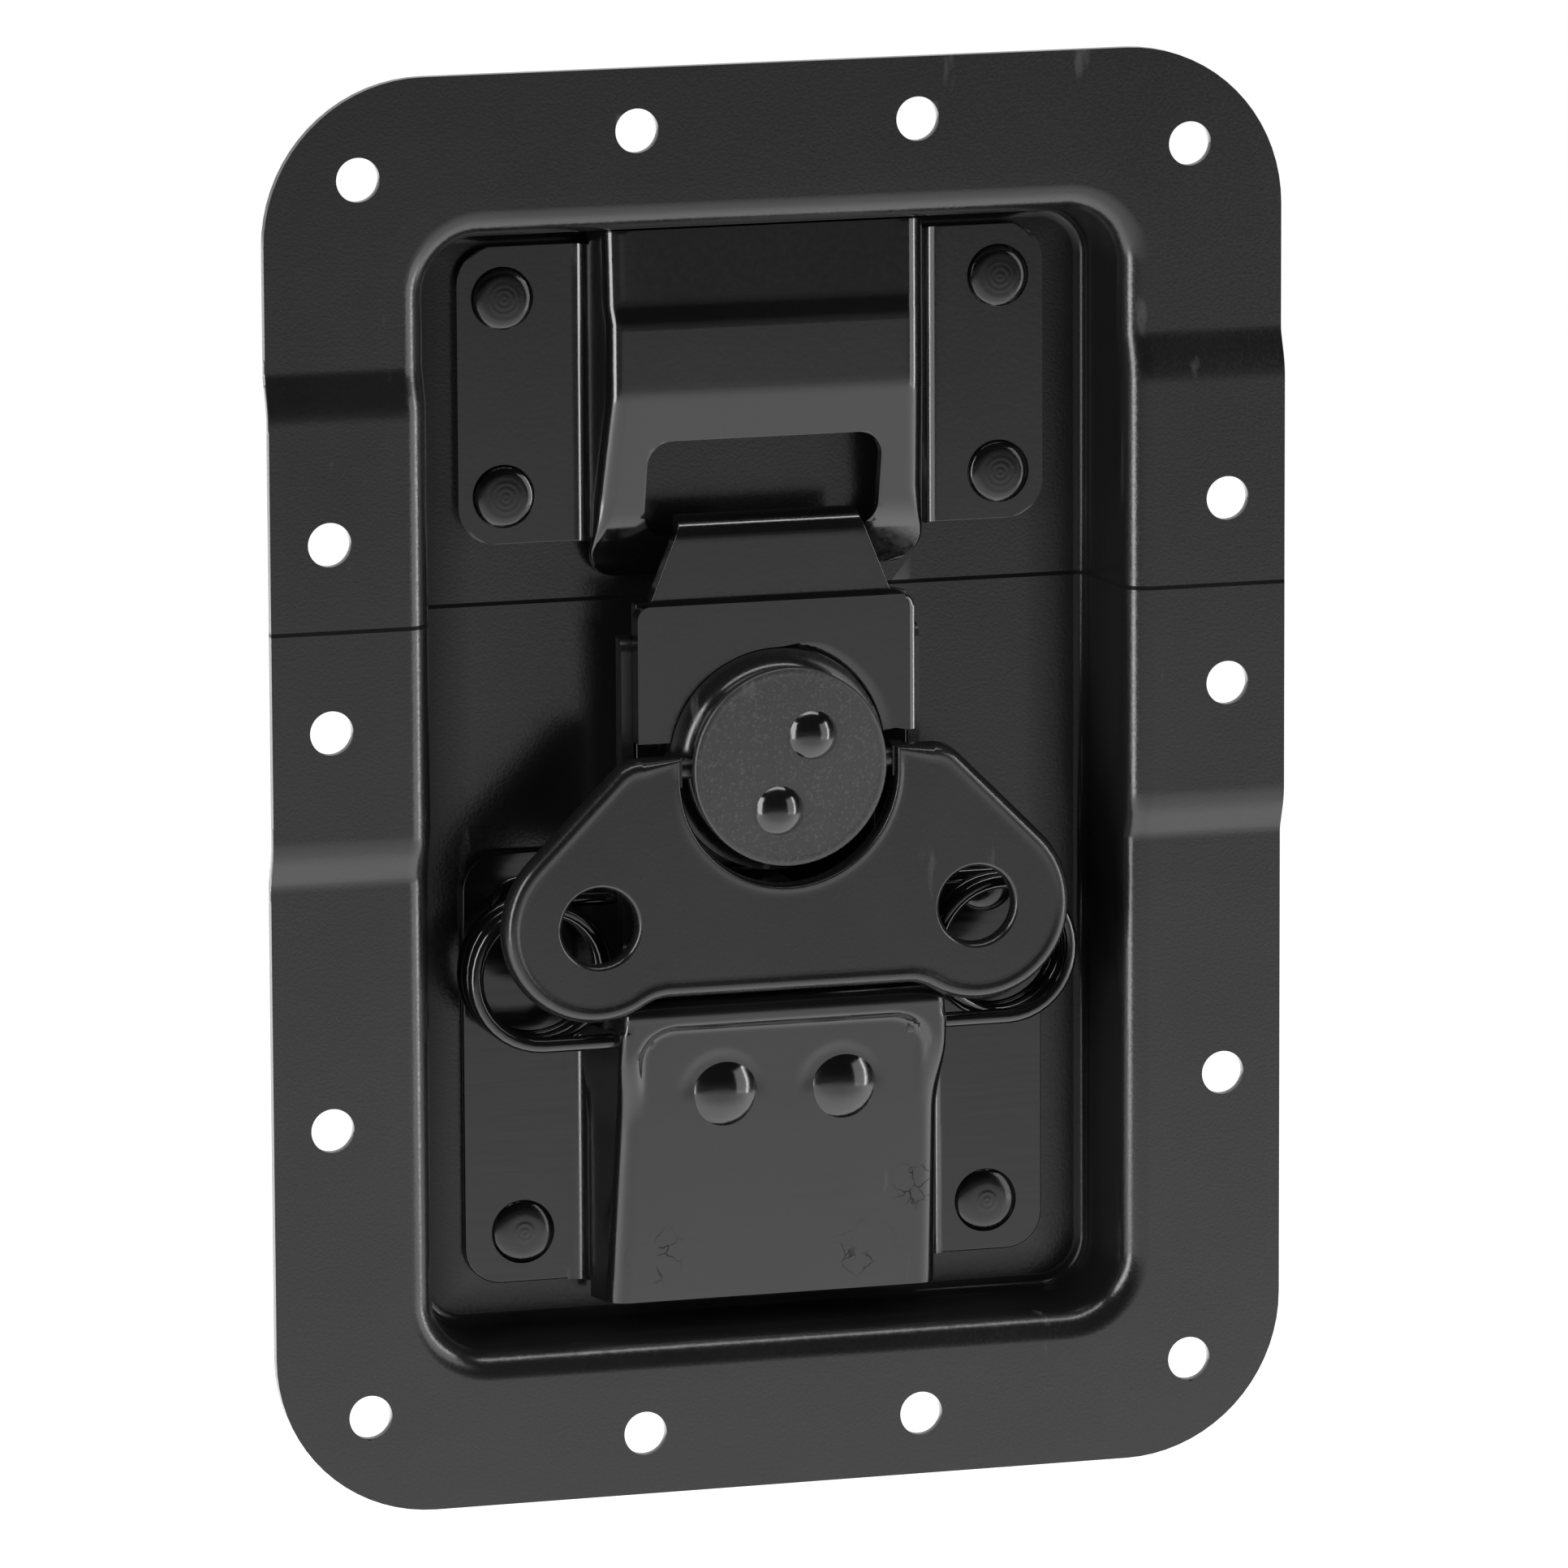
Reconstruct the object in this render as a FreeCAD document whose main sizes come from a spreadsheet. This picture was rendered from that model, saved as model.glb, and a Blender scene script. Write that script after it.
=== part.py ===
import FreeCAD, Part
import math
import os
import re
import Sketcher

# Recessed butterfly latch in a two-part dish, drawn closed, in millimetres.
# X runs across the latch, +Z up along it, +Y into the case. Y = 0 is the
# mounting plane, the rear face of the main flange, and the origin is the
# centre of the four corner holes on that plane.

V = FreeCAD.Vector
Y_DIR = V(0, 1, 0)

doc = FreeCAD.newDocument("ButterflyLatch")
sheet = doc.addObject("Spreadsheet::Sheet", "dims")

# Driving sizes, one group for each piece or fit
sizes = {
    # pressed dish
    "flangeWidth": 126.0,
    "flangeHeight": 172.5,
    "flangeCorner": 19.5,
    "dishSheet": 1.2,
    "raisedStep": 1.5,
    "rampStart": 26.0,
    "rampEnd": 31.0,
    "rampBend": 6.0,
    "splitLevel": 21.0,
    "splitGap": 0.2,
    "recessWidth": 86.6,
    "recessHeight": 134.9,
    "recessMiddle": -0.45,
    "recessDepth": 12.8,
    "recessCorner": 7.0,
    "wallDraft": 5.0,
    "rimRadius": 3.5,
    "floorRadius": 1.5,
    # holes that fasten the dish to the case
    "fixHole": 5.3,
    "cornerPitchX": 102.9,
    "cornerPitchZ": 148.8,
    "endPitchX": 34.7,
    "endPitchZ": 157.6,
    "sidePitchX": 111.5,
    "sideHoleUpper": 31.5,
    "sideHoleMiddle": 9.0,
    "sideHoleLower": -39.2,
    # rivets and fits
    "rivetShank": 3.6,
    "rivetHead": 7.5,
    "rivetCrown": 1.0,
    "rivetTail": 6.4,
    "tailHeight": 1.1,
    "holeClear": 0.1,
    # level of the recess floor's face
    "floorFace": 11.6,
    # keeper
    "keeperSheet": 1.5,
    "keeperSpan": 73.0,
    "keeperLow": 28.4,
    "keeperHigh": 64.2,
    "keeperCorner": 4.5,
    "keeperRivetX": 61.8,
    "keeperRivetLow": 34.1,
    "keeperRivetHigh": 57.9,
    "hoodFace": 3.0,
    "hoodFaceWidth": 38.4,
    "hoodDraft": 16.0,
    "hoodTop": 66.2,
    "hoodTopBack": 1.1,
    "hoodBendHigh": 55.2,
    "hoodBendLow": 46.3,
    "hoodFoot": 23.8,
    "hoodFootBack": 6.2,
    "hoodEdge": 2.6,
    "hoodBow": 14.0,
    "slotWidth": 29.2,
    "slotLow": 28.2,
    "slotHigh": 40.7,
    "slotCorner": 3.0,
    # latch housing
    "housingSheet": 1.2,
    "housingSpan": 72.8,
    "housingLow": -61.8,
    "housingHigh": -9.0,
    "housingCorner": 4.5,
    "housingRivetX": 58.4,
    "housingRivetLow": -55.6,
    "housingRivetHigh": -15.9,
    "housingRivetHead": 7.2,
    "coverWidth": 38.6,
    "coverDraft": 12.0,
    "coverFoot": -63.7,
    "coverFootY": 3.2,
    "coverTopY": -0.4,
    "coverShoulder": -35.4,
    "coverEdge": 2.2,
    "coverBow": 2.0,
    "coverRivetX": 15.0,
    "coverRivetZ": -37.8,
    # hinge line of the swinging latch
    "wireSize": 1.9,
    "hingeY": 1.2,
    "hingeZ": -31.0,
    "ridgeOuter": 3.6,
    "wireEase": 0.25,
    "layerGap": 0.05,
    "clampSheet": 1.2,
    "clampLow": -45.0,
    "clampOuter": 2.2,
    "clampWidth": 26.0,
    "coverRivet": 3.0,
    "coverRivetSeat": -0.11,
    "coverRivetTail": 2.37,
    # spring
    "coilRadius": 8.2,
    "coilX": 29.0,
    "coilTurns": 2.5,
    "coilPitch": 2.48,
    "springTail": 12.0,
    # carrier
    "carrierSheet": 1.5,
    "carrierBend": 1.35,
    "carrierWidth": 37.2,
    "carrierTop": 17.3,
    "carrierFoot": -33.1,
    "carrierFront": 2.8,
    "carrierBack": 6.3,
    "knuckleRadius": 2.0,
    "carrierWallLow": -21.0,
    "carrierNeck": -22.5,
    "earInset": 1.2,
    # hook plate
    "hookSheet": 2.0,
    "hookFront": 2.5,
    "hookWidth": 33.7,
    "hookTail": -25.0,
    "hookShoulder": 21.5,
    "hookNeckWidth": 29.6,
    "hookTipWidth": 23.0,
    "lipUnder": 29.5,
    "lipReach": 10.2,
    "padRise": 2.4,
    "padWidth": 34.6,
    "padLow": 5.0,
    "padCorner": 1.6,
    "padEdge": 0.4,
    "windowWidth": 25.6,
    "guideRun": 7.7,
    "guideFit": 0.2,
    "guideHeight": 1.0,
    "archRadius": 13.6,
    "layerClear": 0.3,
    # cam, drum and cap
    "axisZ": 2.3,
    "camThrow": 3.0,
    "camRadius": 9.5,
    "camSlack": 0.75,
    "camFront": 2.2,
    "camSheet": 2.3,
    "capRivetRise": 1.3,
    "studSize": 4.4,
    "studHead": 6.4,
    "studHeadHeight": 1.5,
    "turnFit": 0.05,
    "drumRadius": 11.3,
    "drumBaseRadius": 12.5,
    "drumBaseFront": 0.5,
    "capRadius": 12.0,
    "capFront": -5.5,
    "capSheet": 1.2,
    "capRivet": 2.4,
    "capRivetHead": 5.9,
    "capRivetUpperX": 2.75,
    "capRivetUpperZ": 6.0,
    "capRivetLowerX": -1.45,
    "capRivetLowerZ": -2.9,
    "washerRadius": 5.0,
    "washerThickness": 0.7,
    "guideZ": -15.0,
    "guideShank": 3.0,
    "guideHead": 6.0,
    # butterfly handle
    "handleFront": -4.7,
    "handleSheet": 1.2,
    "handleDepth": 1.9,
    "handleTop": 4.0,
    "handleBottom": -25.2,
    "lobeX": 23.8,
    "lobeZ": -16.1,
    "lobeRadius": 11.6,
    "fingerHole": 9.3,
    "fingerHoleZ": -16.0,
    "fingerHoleX": 23.5,
    "notchRadius": 13.26,
    "notchZ": 1.2,
    "handleRoll": 1.7,
    "shoulderRadius": 5.0,
    "waistRadius": 6.0,
    "pinY": -2.6,
    "pinSize": 2.4,
    "pinTip": 14.9,
    "pinDepth": 9.5,
    "earInner": 13.1,
    "earThickness": 1.5,
    "earRadius": 2.0,
}

for row, (alias, value) in enumerate(sizes.items(), start=1):
    sheet.set(f"A{row}", alias)
    sheet.set(f"B{row}", str(value))
    sheet.setAlias(f"B{row}", alias)
doc.recompute()


def bound(expression):
    """A formula in sheet names, written so that the document can follow it."""
    return re.sub(r"[A-Za-z]\w*", lambda m: "dims." + m[0] if m[0] in sizes else m[0], expression)


def number(expression):
    result = sheet.evalExpression(bound(expression))
    return float(getattr(result, "Value", result))


# Feature helpers


def newBody(label):
    body = doc.addObject("PartDesign::Body", label)
    body.Label = label
    body.AllowCompound = True
    return body


def newSketch(body, role, name, offset="0"):
    """Sketch on one of the body's own origin planes, moved along that plane's normal."""
    plane = [o for o in body.Origin.OriginFeatures if o.Role == role][0]
    sketch = body.newObject("Sketcher::SketchObject", name)
    sketch.AttachmentSupport = [(plane, "")]
    sketch.MapMode = "FlatFace"
    sketch.AttachmentOffset = FreeCAD.Placement(V(0, 0, number(offset)), FreeCAD.Rotation())
    sketch.setExpression("AttachmentOffset.Base.z", bound(offset))
    return sketch


def front(body, name, depth):
    """Sketch facing the user at a depth Y = depth: its axes are X and Z."""
    return newSketch(body, "XZ_Plane", name, f"-({depth})")


def side(body, name, offset="0"):
    """Sketch seen from the side at X = offset: its axes are Y and Z."""
    return newSketch(body, "YZ_Plane", name, offset)


coverLean = "atan((coverFootY - coverTopY) / (coverShoulder - coverFoot))"


def lean(sketch, axis):
    """Turns a sketch so that its depth runs square to the sloping cover."""
    offset = sketch.AttachmentOffset
    offset.Rotation = FreeCAD.Rotation(axis, number(coverLean))
    sketch.AttachmentOffset = offset
    sketch.setExpression("AttachmentOffset.Rotation.Angle", bound(coverLean))
    return sketch


def place(sketch, geometry, vertex, across, up):
    """Holds one vertex of a sketch at a place given by two formulas."""
    for kind, formula in (("DistanceX", across), ("DistanceY", up)):
        index = sketch.addConstraint(
            Sketcher.Constraint(kind, -1, 1, geometry, vertex, number(formula)))
        if not re.fullmatch(r"-?[\d.]+", formula):
            sketch.setExpression(f"Constraints[{index}]", bound(formula))


def polygon(sketch, corners):
    """Closed outline through corners given as pairs of formulas."""
    first = sketch.GeometryCount
    spots = [V(number(a), number(b), 0) for a, b in corners]
    count = len(corners)
    for i in range(count):
        sketch.addGeometry(Part.LineSegment(spots[i], spots[(i + 1) % count]), False)
    for i in range(count):
        following = first + (i + 1) % count
        sketch.addConstraint(Sketcher.Constraint("Coincident", first + i, 2, following, 1))
    for i, (across, up) in enumerate(corners):
        place(sketch, first + i, 1, across, up)
    return sketch


def rectangle(sketch, left, right, low, high):
    return polygon(sketch, [(left, low), (right, low), (right, high), (left, high)])


def circle(sketch, across, up, radius):
    index = sketch.addGeometry(
        Part.Circle(V(number(across), number(up), 0), V(0, 0, 1), number(radius)), False)
    place(sketch, index, 3, across, up)
    at = sketch.addConstraint(Sketcher.Constraint("Radius", index, number(radius)))
    sketch.setExpression(f"Constraints[{at}]", bound(radius))
    return sketch


def settle(feature):
    doc.recompute()
    if "Invalid" in feature.State or "Error" in feature.State or feature.Shape.isNull():
        raise RuntimeError(f"{feature.Label} failed: {feature.State}")
    return feature


def pad(sketch, length, inward=True, both=False, draft=None):
    """Adds material along the sketch's normal: inward is +Y on a front sketch, +X on a side one."""
    body = sketch.getParentGeoFeatureGroup()
    feature = body.newObject("PartDesign::Pad", sketch.Name + "Pad")
    feature.Profile = sketch
    feature.setExpression("Length", bound(length))
    frontal = abs(sketch.Placement.Rotation.multVec(V(0, 0, 1)).y) > 0.5
    feature.Reversed = inward if frontal else not inward
    feature.Midplane = both
    if draft:
        feature.setExpression("TaperAngle", bound(draft))
    return settle(feature)


def pocket(sketch, length, inward=True, both=False, draft=None):
    """Removes material in the same sense as pad, and must take some away."""
    body = sketch.getParentGeoFeatureGroup()
    before = body.Shape.Volume
    feature = body.newObject("PartDesign::Pocket", sketch.Name + "Cut")
    feature.Profile = sketch
    feature.setExpression("Length", bound(length))
    frontal = abs(sketch.Placement.Rotation.multVec(V(0, 0, 1)).y) > 0.5
    feature.Reversed = (not inward) if frontal else inward
    feature.Midplane = both
    if draft:
        feature.setExpression("TaperAngle", bound(draft))
    settle(feature)
    if body.Shape.Volume > before - 1e-6:
        raise RuntimeError(f"{feature.Label} cuts nothing")
    return feature


def edgesWhere(shape, test):
    return [f"Edge{i}" for i, edge in enumerate(shape.Edges, start=1)
            if not edge.Degenerated and test(edge)]


def roundEdges(body, name, radius, test):
    base = body.Tip
    names = edgesWhere(base.Shape, test)
    if not names:
        raise RuntimeError(f"{name} finds no edge")
    feature = body.newObject("PartDesign::Fillet", name)
    feature.Base = (base, names)
    feature.setExpression("Radius", bound(radius))
    return settle(feature)


def breakEdges(body, name, size, test):
    base = body.Tip
    feature = body.newObject("PartDesign::Chamfer", name)
    feature.Base = (base, edgesWhere(base.Shape, test))
    feature.setExpression("Size", bound(size))
    return settle(feature)


def subtract(body, name, tool):
    feature = body.newObject("PartDesign::Boolean", name)
    feature.Type = "Cut"
    feature.setObjects([tool])
    return settle(feature)


def runs(edge, axis, tolerance=0.02):
    """True for a straight edge along X, Y or Z."""
    if not isinstance(edge.Curve, (Part.Line, Part.LineSegment)):
        return False
    direction = edge.tangentAt(edge.FirstParameter)
    return abs(getattr(direction, axis)) > 1 - tolerance


def level(edge, axis, value, tolerance=0.02):
    """True for an edge that lies wholly in the plane axis = value."""
    box = edge.BoundBox
    low = getattr(box, axis.upper() + "Min")
    high = getattr(box, axis.upper() + "Max")
    return abs(low - value) < tolerance and abs(high - value) < tolerance


def near(value, target, tolerance=0.05):
    return abs(value - target) < tolerance


# Pressed dish: one sheet with a drafted recess, split across near its middle


def flangeProfile(name, body, stockFormula, rear):
    """Side view of the flange: raised around the split, level beyond the ramps."""
    main, raised = ("0", "-raisedStep") if rear else ("-dishSheet", "-raisedStep - dishSheet")
    return polygon(side(body, name), [
        (stockFormula, "-flangeHeight / 2 - 1" if not rear else "-flangeHeight / 2"),
        (main, "-flangeHeight / 2 - 1" if not rear else "-flangeHeight / 2"),
        (main, "splitLevel - rampEnd"),
        (raised, "splitLevel - rampStart"),
        (raised, "splitLevel + rampStart"),
        (main, "splitLevel + rampEnd"),
        (main, "flangeHeight / 2 + 1" if not rear else "flangeHeight / 2"),
        (stockFormula, "flangeHeight / 2 + 1" if not rear else "flangeHeight / 2"),
    ])


def roundRamps(body, name, mainY, raisedY):
    split, start, end = number("splitLevel"), number("rampStart"), number("rampEnd")

    def onRamp(edge):
        z = edge.CenterOfMass.z
        y = edge.CenterOfMass.y
        foot = near(y, mainY) and (near(z, split - end) or near(z, split + end))
        head = near(y, raisedY) and (near(z, split - start) or near(z, split + start))
        return runs(edge, "x") and (foot or head)

    return roundEdges(body, name, "rampBend", onRamp)


def climbs(grow):
    """Picks the sharp edges that climb the drafted corners of the recess, at a size grown by so much."""
    half, tall, middle = number("recessWidth / 2"), number("recessHeight / 2"), number("recessMiddle")

    def onCorner(edge):
        centre = edge.CenterOfMass
        return edge.BoundBox.YLength > number("recessDepth") / 2 \
            and near(abs(centre.x), half + grow, 0.7) \
            and near(abs(centre.z - middle), tall + grow, 0.7)

    return onCorner


def recessBlock(body, name, extra, depth, cut):
    """Drafted rectangle from the raised flange's front to the floor, grown by extra."""
    half = "recessWidth / 2 + raisedStep * tan(wallDraft * 1deg)" + extra
    tall = "recessHeight / 2 + raisedStep * tan(wallDraft * 1deg)" + extra
    outline = rectangle(front(body, name, "-raisedStep - dishSheet"), f"-({half})", half,
                        f"recessMiddle - ({tall})", f"recessMiddle + {tall}")
    make = pocket if cut else pad
    return make(outline, depth, draft="-wallDraft")


def buildDish(label, upper):
    body = newBody(label)
    stock = 12
    pad(flangeProfile(label + "Blank", body, f"-{stock}", True), "flangeWidth", both=True)
    half, tall = number("flangeWidth") / 2, number("flangeHeight") / 2
    roundEdges(body, label + "Corners", "flangeCorner", lambda e: runs(e, "y")
               and near(abs(e.CenterOfMass.x), half) and near(abs(e.CenterOfMass.z), tall))
    roundRamps(body, label + "RearRamps", 0, -number("raisedStep"))
    recessBlock(body, label + "Pan", " + dishSheet / cos(wallDraft * 1deg)",
                "recessDepth + raisedStep + dishSheet", False)
    pocket(flangeProfile(label + "Face", body, f"-{stock + 1}", False), "flangeWidth + 2", both=True)
    sheetY, depth = number("dishSheet"), number("recessDepth")
    roundRamps(body, label + "FrontRamps", -sheetY, -number("dishSheet + raisedStep"))
    recessBlock(body, label + "Recess", "", "recessDepth + raisedStep", True)
    roundEdges(body, label + "PanCorners", "recessCorner + dishSheet", climbs(sheetY - 0.5))
    roundEdges(body, label + "RecessCorners", "recessCorner", climbs(-0.5))
    roundEdges(body, label + "PanFoot", "floorRadius + dishSheet", lambda e: level(e, "y", depth))
    roundEdges(body, label + "RecessFoot", "floorRadius", lambda e: level(e, "y", depth - sheetY))
    roundEdges(body, label + "RecessRim", "rimRadius", recessRim(body, -sheetY, depth - 4))
    roundEdges(body, label + "PanRim", "rimRadius - dishSheet", recessRim(body, 0, depth - 4))
    holes = front(body, label + "Holes", "-raisedStep - dishSheet - 1")
    for across, up in fixingHoles():
        if (number(up) > number("splitLevel")) == upper:
            circle(holes, across, up, "fixHole / 2")
    pocket(holes, "dishSheet + raisedStep + 3")
    rivets = front(body, label + "RivetHoles", "recessDepth - dishSheet - 1")
    for across, up in (keeperRivetSpots() if upper else housingRivetSpots()):
        circle(rivets, across, up, "rivetShank / 2 + holeClear")
    pocket(rivets, "dishSheet + 2")
    other = front(body, label + "OtherHalf", "-raisedStep - dishSheet - 2")
    edge = "splitLevel + splitGap / 2" if upper else "splitLevel - splitGap / 2"
    far = "-flangeHeight" if upper else "flangeHeight"
    rectangle(other, "-flangeWidth", "flangeWidth", *((far, edge) if upper else (edge, far)))
    pocket(other, "recessDepth + raisedStep + dishSheet + 4")
    return body


def recessRim(body, mainY, wallHeight):
    """Picks the level edges where the recess wall meets one face of the flange."""
    raised = mainY - number("raisedStep")

    def onRim(edge):
        walls = [f for f in body.Tip.Shape.ancestorsOfType(edge, Part.Face)
                 if f.BoundBox.YLength > wallHeight]
        inside = abs(edge.CenterOfMass.x) < number("recessWidth / 2") + 3
        return (level(edge, "y", mainY) or level(edge, "y", raised)) and inside and len(walls) == 1

    return onRim


def fixingHoles():
    """Centres of the fourteen holes in the flange."""
    spots = []
    for sign in ("-", ""):
        for tall in ("-", ""):
            spots.append((f"{sign}cornerPitchX / 2", f"{tall}cornerPitchZ / 2"))
            spots.append((f"{sign}endPitchX / 2", f"{tall}endPitchZ / 2"))
        for height in ("sideHoleUpper", "sideHoleMiddle", "sideHoleLower"):
            spots.append((f"{sign}sidePitchX / 2", height))
    return spots


def keeperRivetSpots():
    return [(f"{sign}keeperRivetX / 2", height) for sign in ("-", "")
            for height in ("keeperRivetLow", "keeperRivetHigh")]


def housingRivetSpots():
    return [(f"{sign}housingRivetX / 2", height) for sign in ("-", "")
            for height in ("housingRivetLow", "housingRivetHigh")]


buildDish("upper_dish", True)
buildDish("lower_dish", False)


# Rivets: one turned profile repeated over its places


def rivetBody(label, spot, plan, headBase, head, crown, shank, tailFace, tail, leaning=False):
    """Domed rivets with their axes along Y: plan holds the steps of the pattern along Z and X."""
    body = newBody(label)
    across, up = spot
    sketch = side(body, label + "Turned", across)
    sketch.AttachmentOffset = FreeCAD.Placement(V(0, number(up), number(across)), FreeCAD.Rotation())
    sketch.setExpression("AttachmentOffset.Base.y", bound(up))
    if leaning:
        lean(sketch, V(0, 0, 1))
    corners = [(headBase, head), (headBase, shank), (tailFace, shank), (tailFace, tail),
               (f"{tailFace} + tailHeight", f"({tail}) * 0.8"), (f"{tailFace} + tailHeight", "0"),
               (f"{headBase} - {crown}", "0")]
    spots = [V(number(a), number(b), 0) for a, b in corners]
    last = len(spots) - 1
    for i in range(last):
        sketch.addGeometry(Part.LineSegment(spots[i], spots[i + 1]), False)
    rise, reach = number(crown), number(head)
    radius = (rise ** 2 + reach ** 2) / (2 * rise)
    dome = Part.Circle(V(spots[last].x + radius, 0, 0), V(0, 0, 1), radius)
    sketch.addGeometry(Part.ArcOfCircle(dome, math.pi - math.asin(reach / radius), math.pi), False)
    for i in range(last - 1):
        sketch.addConstraint(Sketcher.Constraint("Coincident", i, 2, i + 1, 1))
    sketch.addConstraint(Sketcher.Constraint("Coincident", last - 1, 2, last, 2))
    sketch.addConstraint(Sketcher.Constraint("Coincident", 0, 1, last, 1))
    sketch.addConstraint(Sketcher.Constraint("PointOnObject", last, 3, -1))
    for i in range(last):
        place(sketch, i, 1, *corners[i])
    place(sketch, last, 2, corners[last][0], "0")
    turned = body.newObject("PartDesign::Revolution", label + "Rivet")
    turned.Profile = sketch
    turned.ReferenceAxis = (sketch, ["H_Axis"])
    turned.Angle = 360
    settle(turned)
    steps = []
    if plan:
        row = body.newObject("PartDesign::LinearPattern", label + "Row")
        row.Direction = ([o for o in body.Origin.OriginFeatures if o.Role == "Z_Axis"][0], [""])
        row.setExpression("Length", bound(plan))
        row.Occurrences = 2
        steps.append(row)
    mirror = body.newObject("PartDesign::Mirrored", label + "Pair")
    mirror.MirrorPlane = ([o for o in body.Origin.OriginFeatures if o.Role == "YZ_Plane"][0], [""])
    steps.append(mirror)
    if plan:
        repeat = body.newObject("PartDesign::MultiTransform", label + "Set")
        repeat.Originals = [turned]
        repeat.Transformations = steps
        body.Tip = repeat
    else:
        mirror.Originals = [turned]
        body.Tip = mirror
    doc.recompute()
    return body


# Keeper: one sheet, a hood with drafted sides pressed up between two flanges


def pressedBox(label, profile, ridge, faceY, half, draft, edge, bow):
    """Solid hood: a side profile across the latch, both ends cut back to the draft."""
    body = newBody(label)
    pad(polygon(side(body, label + "Profile"), profile), "60", both=True)
    bends = [(number(y), number(z)) for y, z in profile[1:3]]
    roundEdges(body, label + "Bow", bow, lambda e: runs(e, "x")
               and any(near(e.CenterOfMass.y, y) and near(e.CenterOfMass.z, z) for y, z in bends))
    if ridge:
        pad(circle(side(body, label + "Ridge"), "hingeY", "hingeZ", ridge), "60", both=True)
    shallow, deep = f"({faceY} - 9)", "14"

    def reach(level):
        return f"{half} + ({level} - ({faceY})) * tan({draft} * 1deg)"

    ends = newSketch(body, "XY_Plane", label + "Ends")
    for sign in ("", "-"):
        polygon(ends, [(f"{sign}({reach(shallow)})", shallow), (f"{sign}({reach(deep)})", deep),
                       (f"{sign}40", deep), (f"{sign}40", shallow)])
    pocket(ends, "300", both=True)
    slope = math.tan(math.radians(number(draft)))

    def onFront(e):
        centre = e.CenterOfMass
        wall = number(half) + (centre.y - number(faceY)) * slope
        flat = [f for f in body.Tip.Shape.ancestorsOfType(e, Part.Face)
                if abs(f.normalAt(0, 0).x) > 0.5]
        return near(abs(centre.x), wall, 0.15) and len(flat) == 1 \
            and e.BoundBox.ZLength > 2 and centre.y < 10 and not runs(e, "y")

    roundEdges(body, label + "Bends", edge, onFront)
    return body


def hoodProfile(skin, reach):
    """Side view of the keeper's hood at a depth below its skin, drawn past its ends by reach."""
    return [(f"hoodFace + hoodTopBack + {skin} + {reach} * 0.1", f"hoodTop + {reach}"),
            (f"hoodFace + {skin}", "hoodBendHigh"), (f"hoodFace + {skin}", "hoodBendLow"),
            (f"hoodFace + hoodFootBack + {skin} + {reach} * 0.2", f"hoodFoot - {reach}"),
            (f"floorFace + {reach}", f"hoodFoot - {reach}"),
            (f"floorFace + {reach}", f"keeperHigh + {reach} * 2")]


def roundedPlate(body, name, left, right, low, high, depth, thickness, corner):
    """Flat plate facing the user with its outer corners rounded."""
    pad(rectangle(front(body, name, depth), left, right, low, high), thickness)
    edges = (number(left), number(right))
    roundEdges(body, name + "Corners", corner, lambda e: runs(e, "y")
               and near(e.Length, number(thickness), 0.02)
               and (near(abs(e.CenterOfMass.x), max(abs(v) for v in edges)))
               and (near(e.CenterOfMass.z, number(low)) or near(e.CenterOfMass.z, number(high))))


def buildKeeper():
    body = pressedBox("keeper", hoodProfile("0", "0"), None, "hoodFace", "hoodFaceWidth / 2",
                      "hoodDraft", "hoodEdge", "hoodBow")
    hollow = pressedBox("keeperHollow", hoodProfile("keeperSheet", "2"), None, "hoodFace",
                        "hoodFaceWidth / 2 - keeperSheet / cos(hoodDraft * 1deg)", "hoodDraft",
                        "hoodEdge - keeperSheet", "hoodBow - keeperSheet")
    subtract(body, "keeperInside", hollow)
    for sign, label in (("-", "Left"), ("", "Right")):
        roundedPlate(body, f"keeper{label}", f"{sign}(hoodFaceWidth / 2 + 1.6)", f"{sign}keeperSpan / 2",
                     "keeperLow", "keeperHigh", "floorFace - keeperSheet", "keeperSheet",
                     "keeperCorner")
    slot = rectangle(front(body, "keeperSlot", "0"), "-slotWidth / 2", "slotWidth / 2",
                     "slotLow", "slotHigh")
    pocket(slot, "floorFace")
    half = number("slotWidth / 2")
    roundEdges(body, "keeperSlotCorners", "slotCorner", lambda e: runs(e, "y")
               and near(abs(e.CenterOfMass.x), half)
               and (near(e.CenterOfMass.z, number("slotLow"))
                    or near(e.CenterOfMass.z, number("slotHigh"))))
    holes = front(body, "keeperHoles", "floorFace - keeperSheet - 1")
    for across, up in keeperRivetSpots():
        circle(holes, across, up, "rivetShank / 2 + holeClear")
    pocket(holes, "keeperSheet + 2")


# Housing of the swinging latch: flanges, a drafted cover and a half-round ridge for the wire


def coverProfile(skin, reach):
    """Side view of the cover at a depth below its skin, drawn past its ends by reach."""
    return [(f"coverFootY + {skin} + {reach} * 0.13", f"coverFoot - {reach}"),
            (f"coverTopY + {skin}", "coverShoulder"),
            (f"coverTopY + {skin}", "hingeZ - ridgeOuter * 0.8"),
            ("hingeY", "hingeZ"), ("hingeY", f"hingeZ + ridgeOuter + {reach}"),
            (f"floorFace + {reach}", f"hingeZ + ridgeOuter + {reach}"),
            (f"floorFace + {reach}", f"coverFoot - {reach}")]


def coverRivetHoles(body, name):
    """Two holes square to the cover's slope."""
    holes = front(body, name, "0")
    holes.AttachmentOffset = FreeCAD.Placement(V(0, number("coverRivetZ"), 0), FreeCAD.Rotation())
    holes.setExpression("AttachmentOffset.Base.y", bound("coverRivetZ"))
    lean(holes, V(1, 0, 0))
    for sign in ("-", ""):
        circle(holes, f"{sign}coverRivetX / 2", "0", "coverRivet / 2 + holeClear")
    pocket(holes, "8", both=True)


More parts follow.
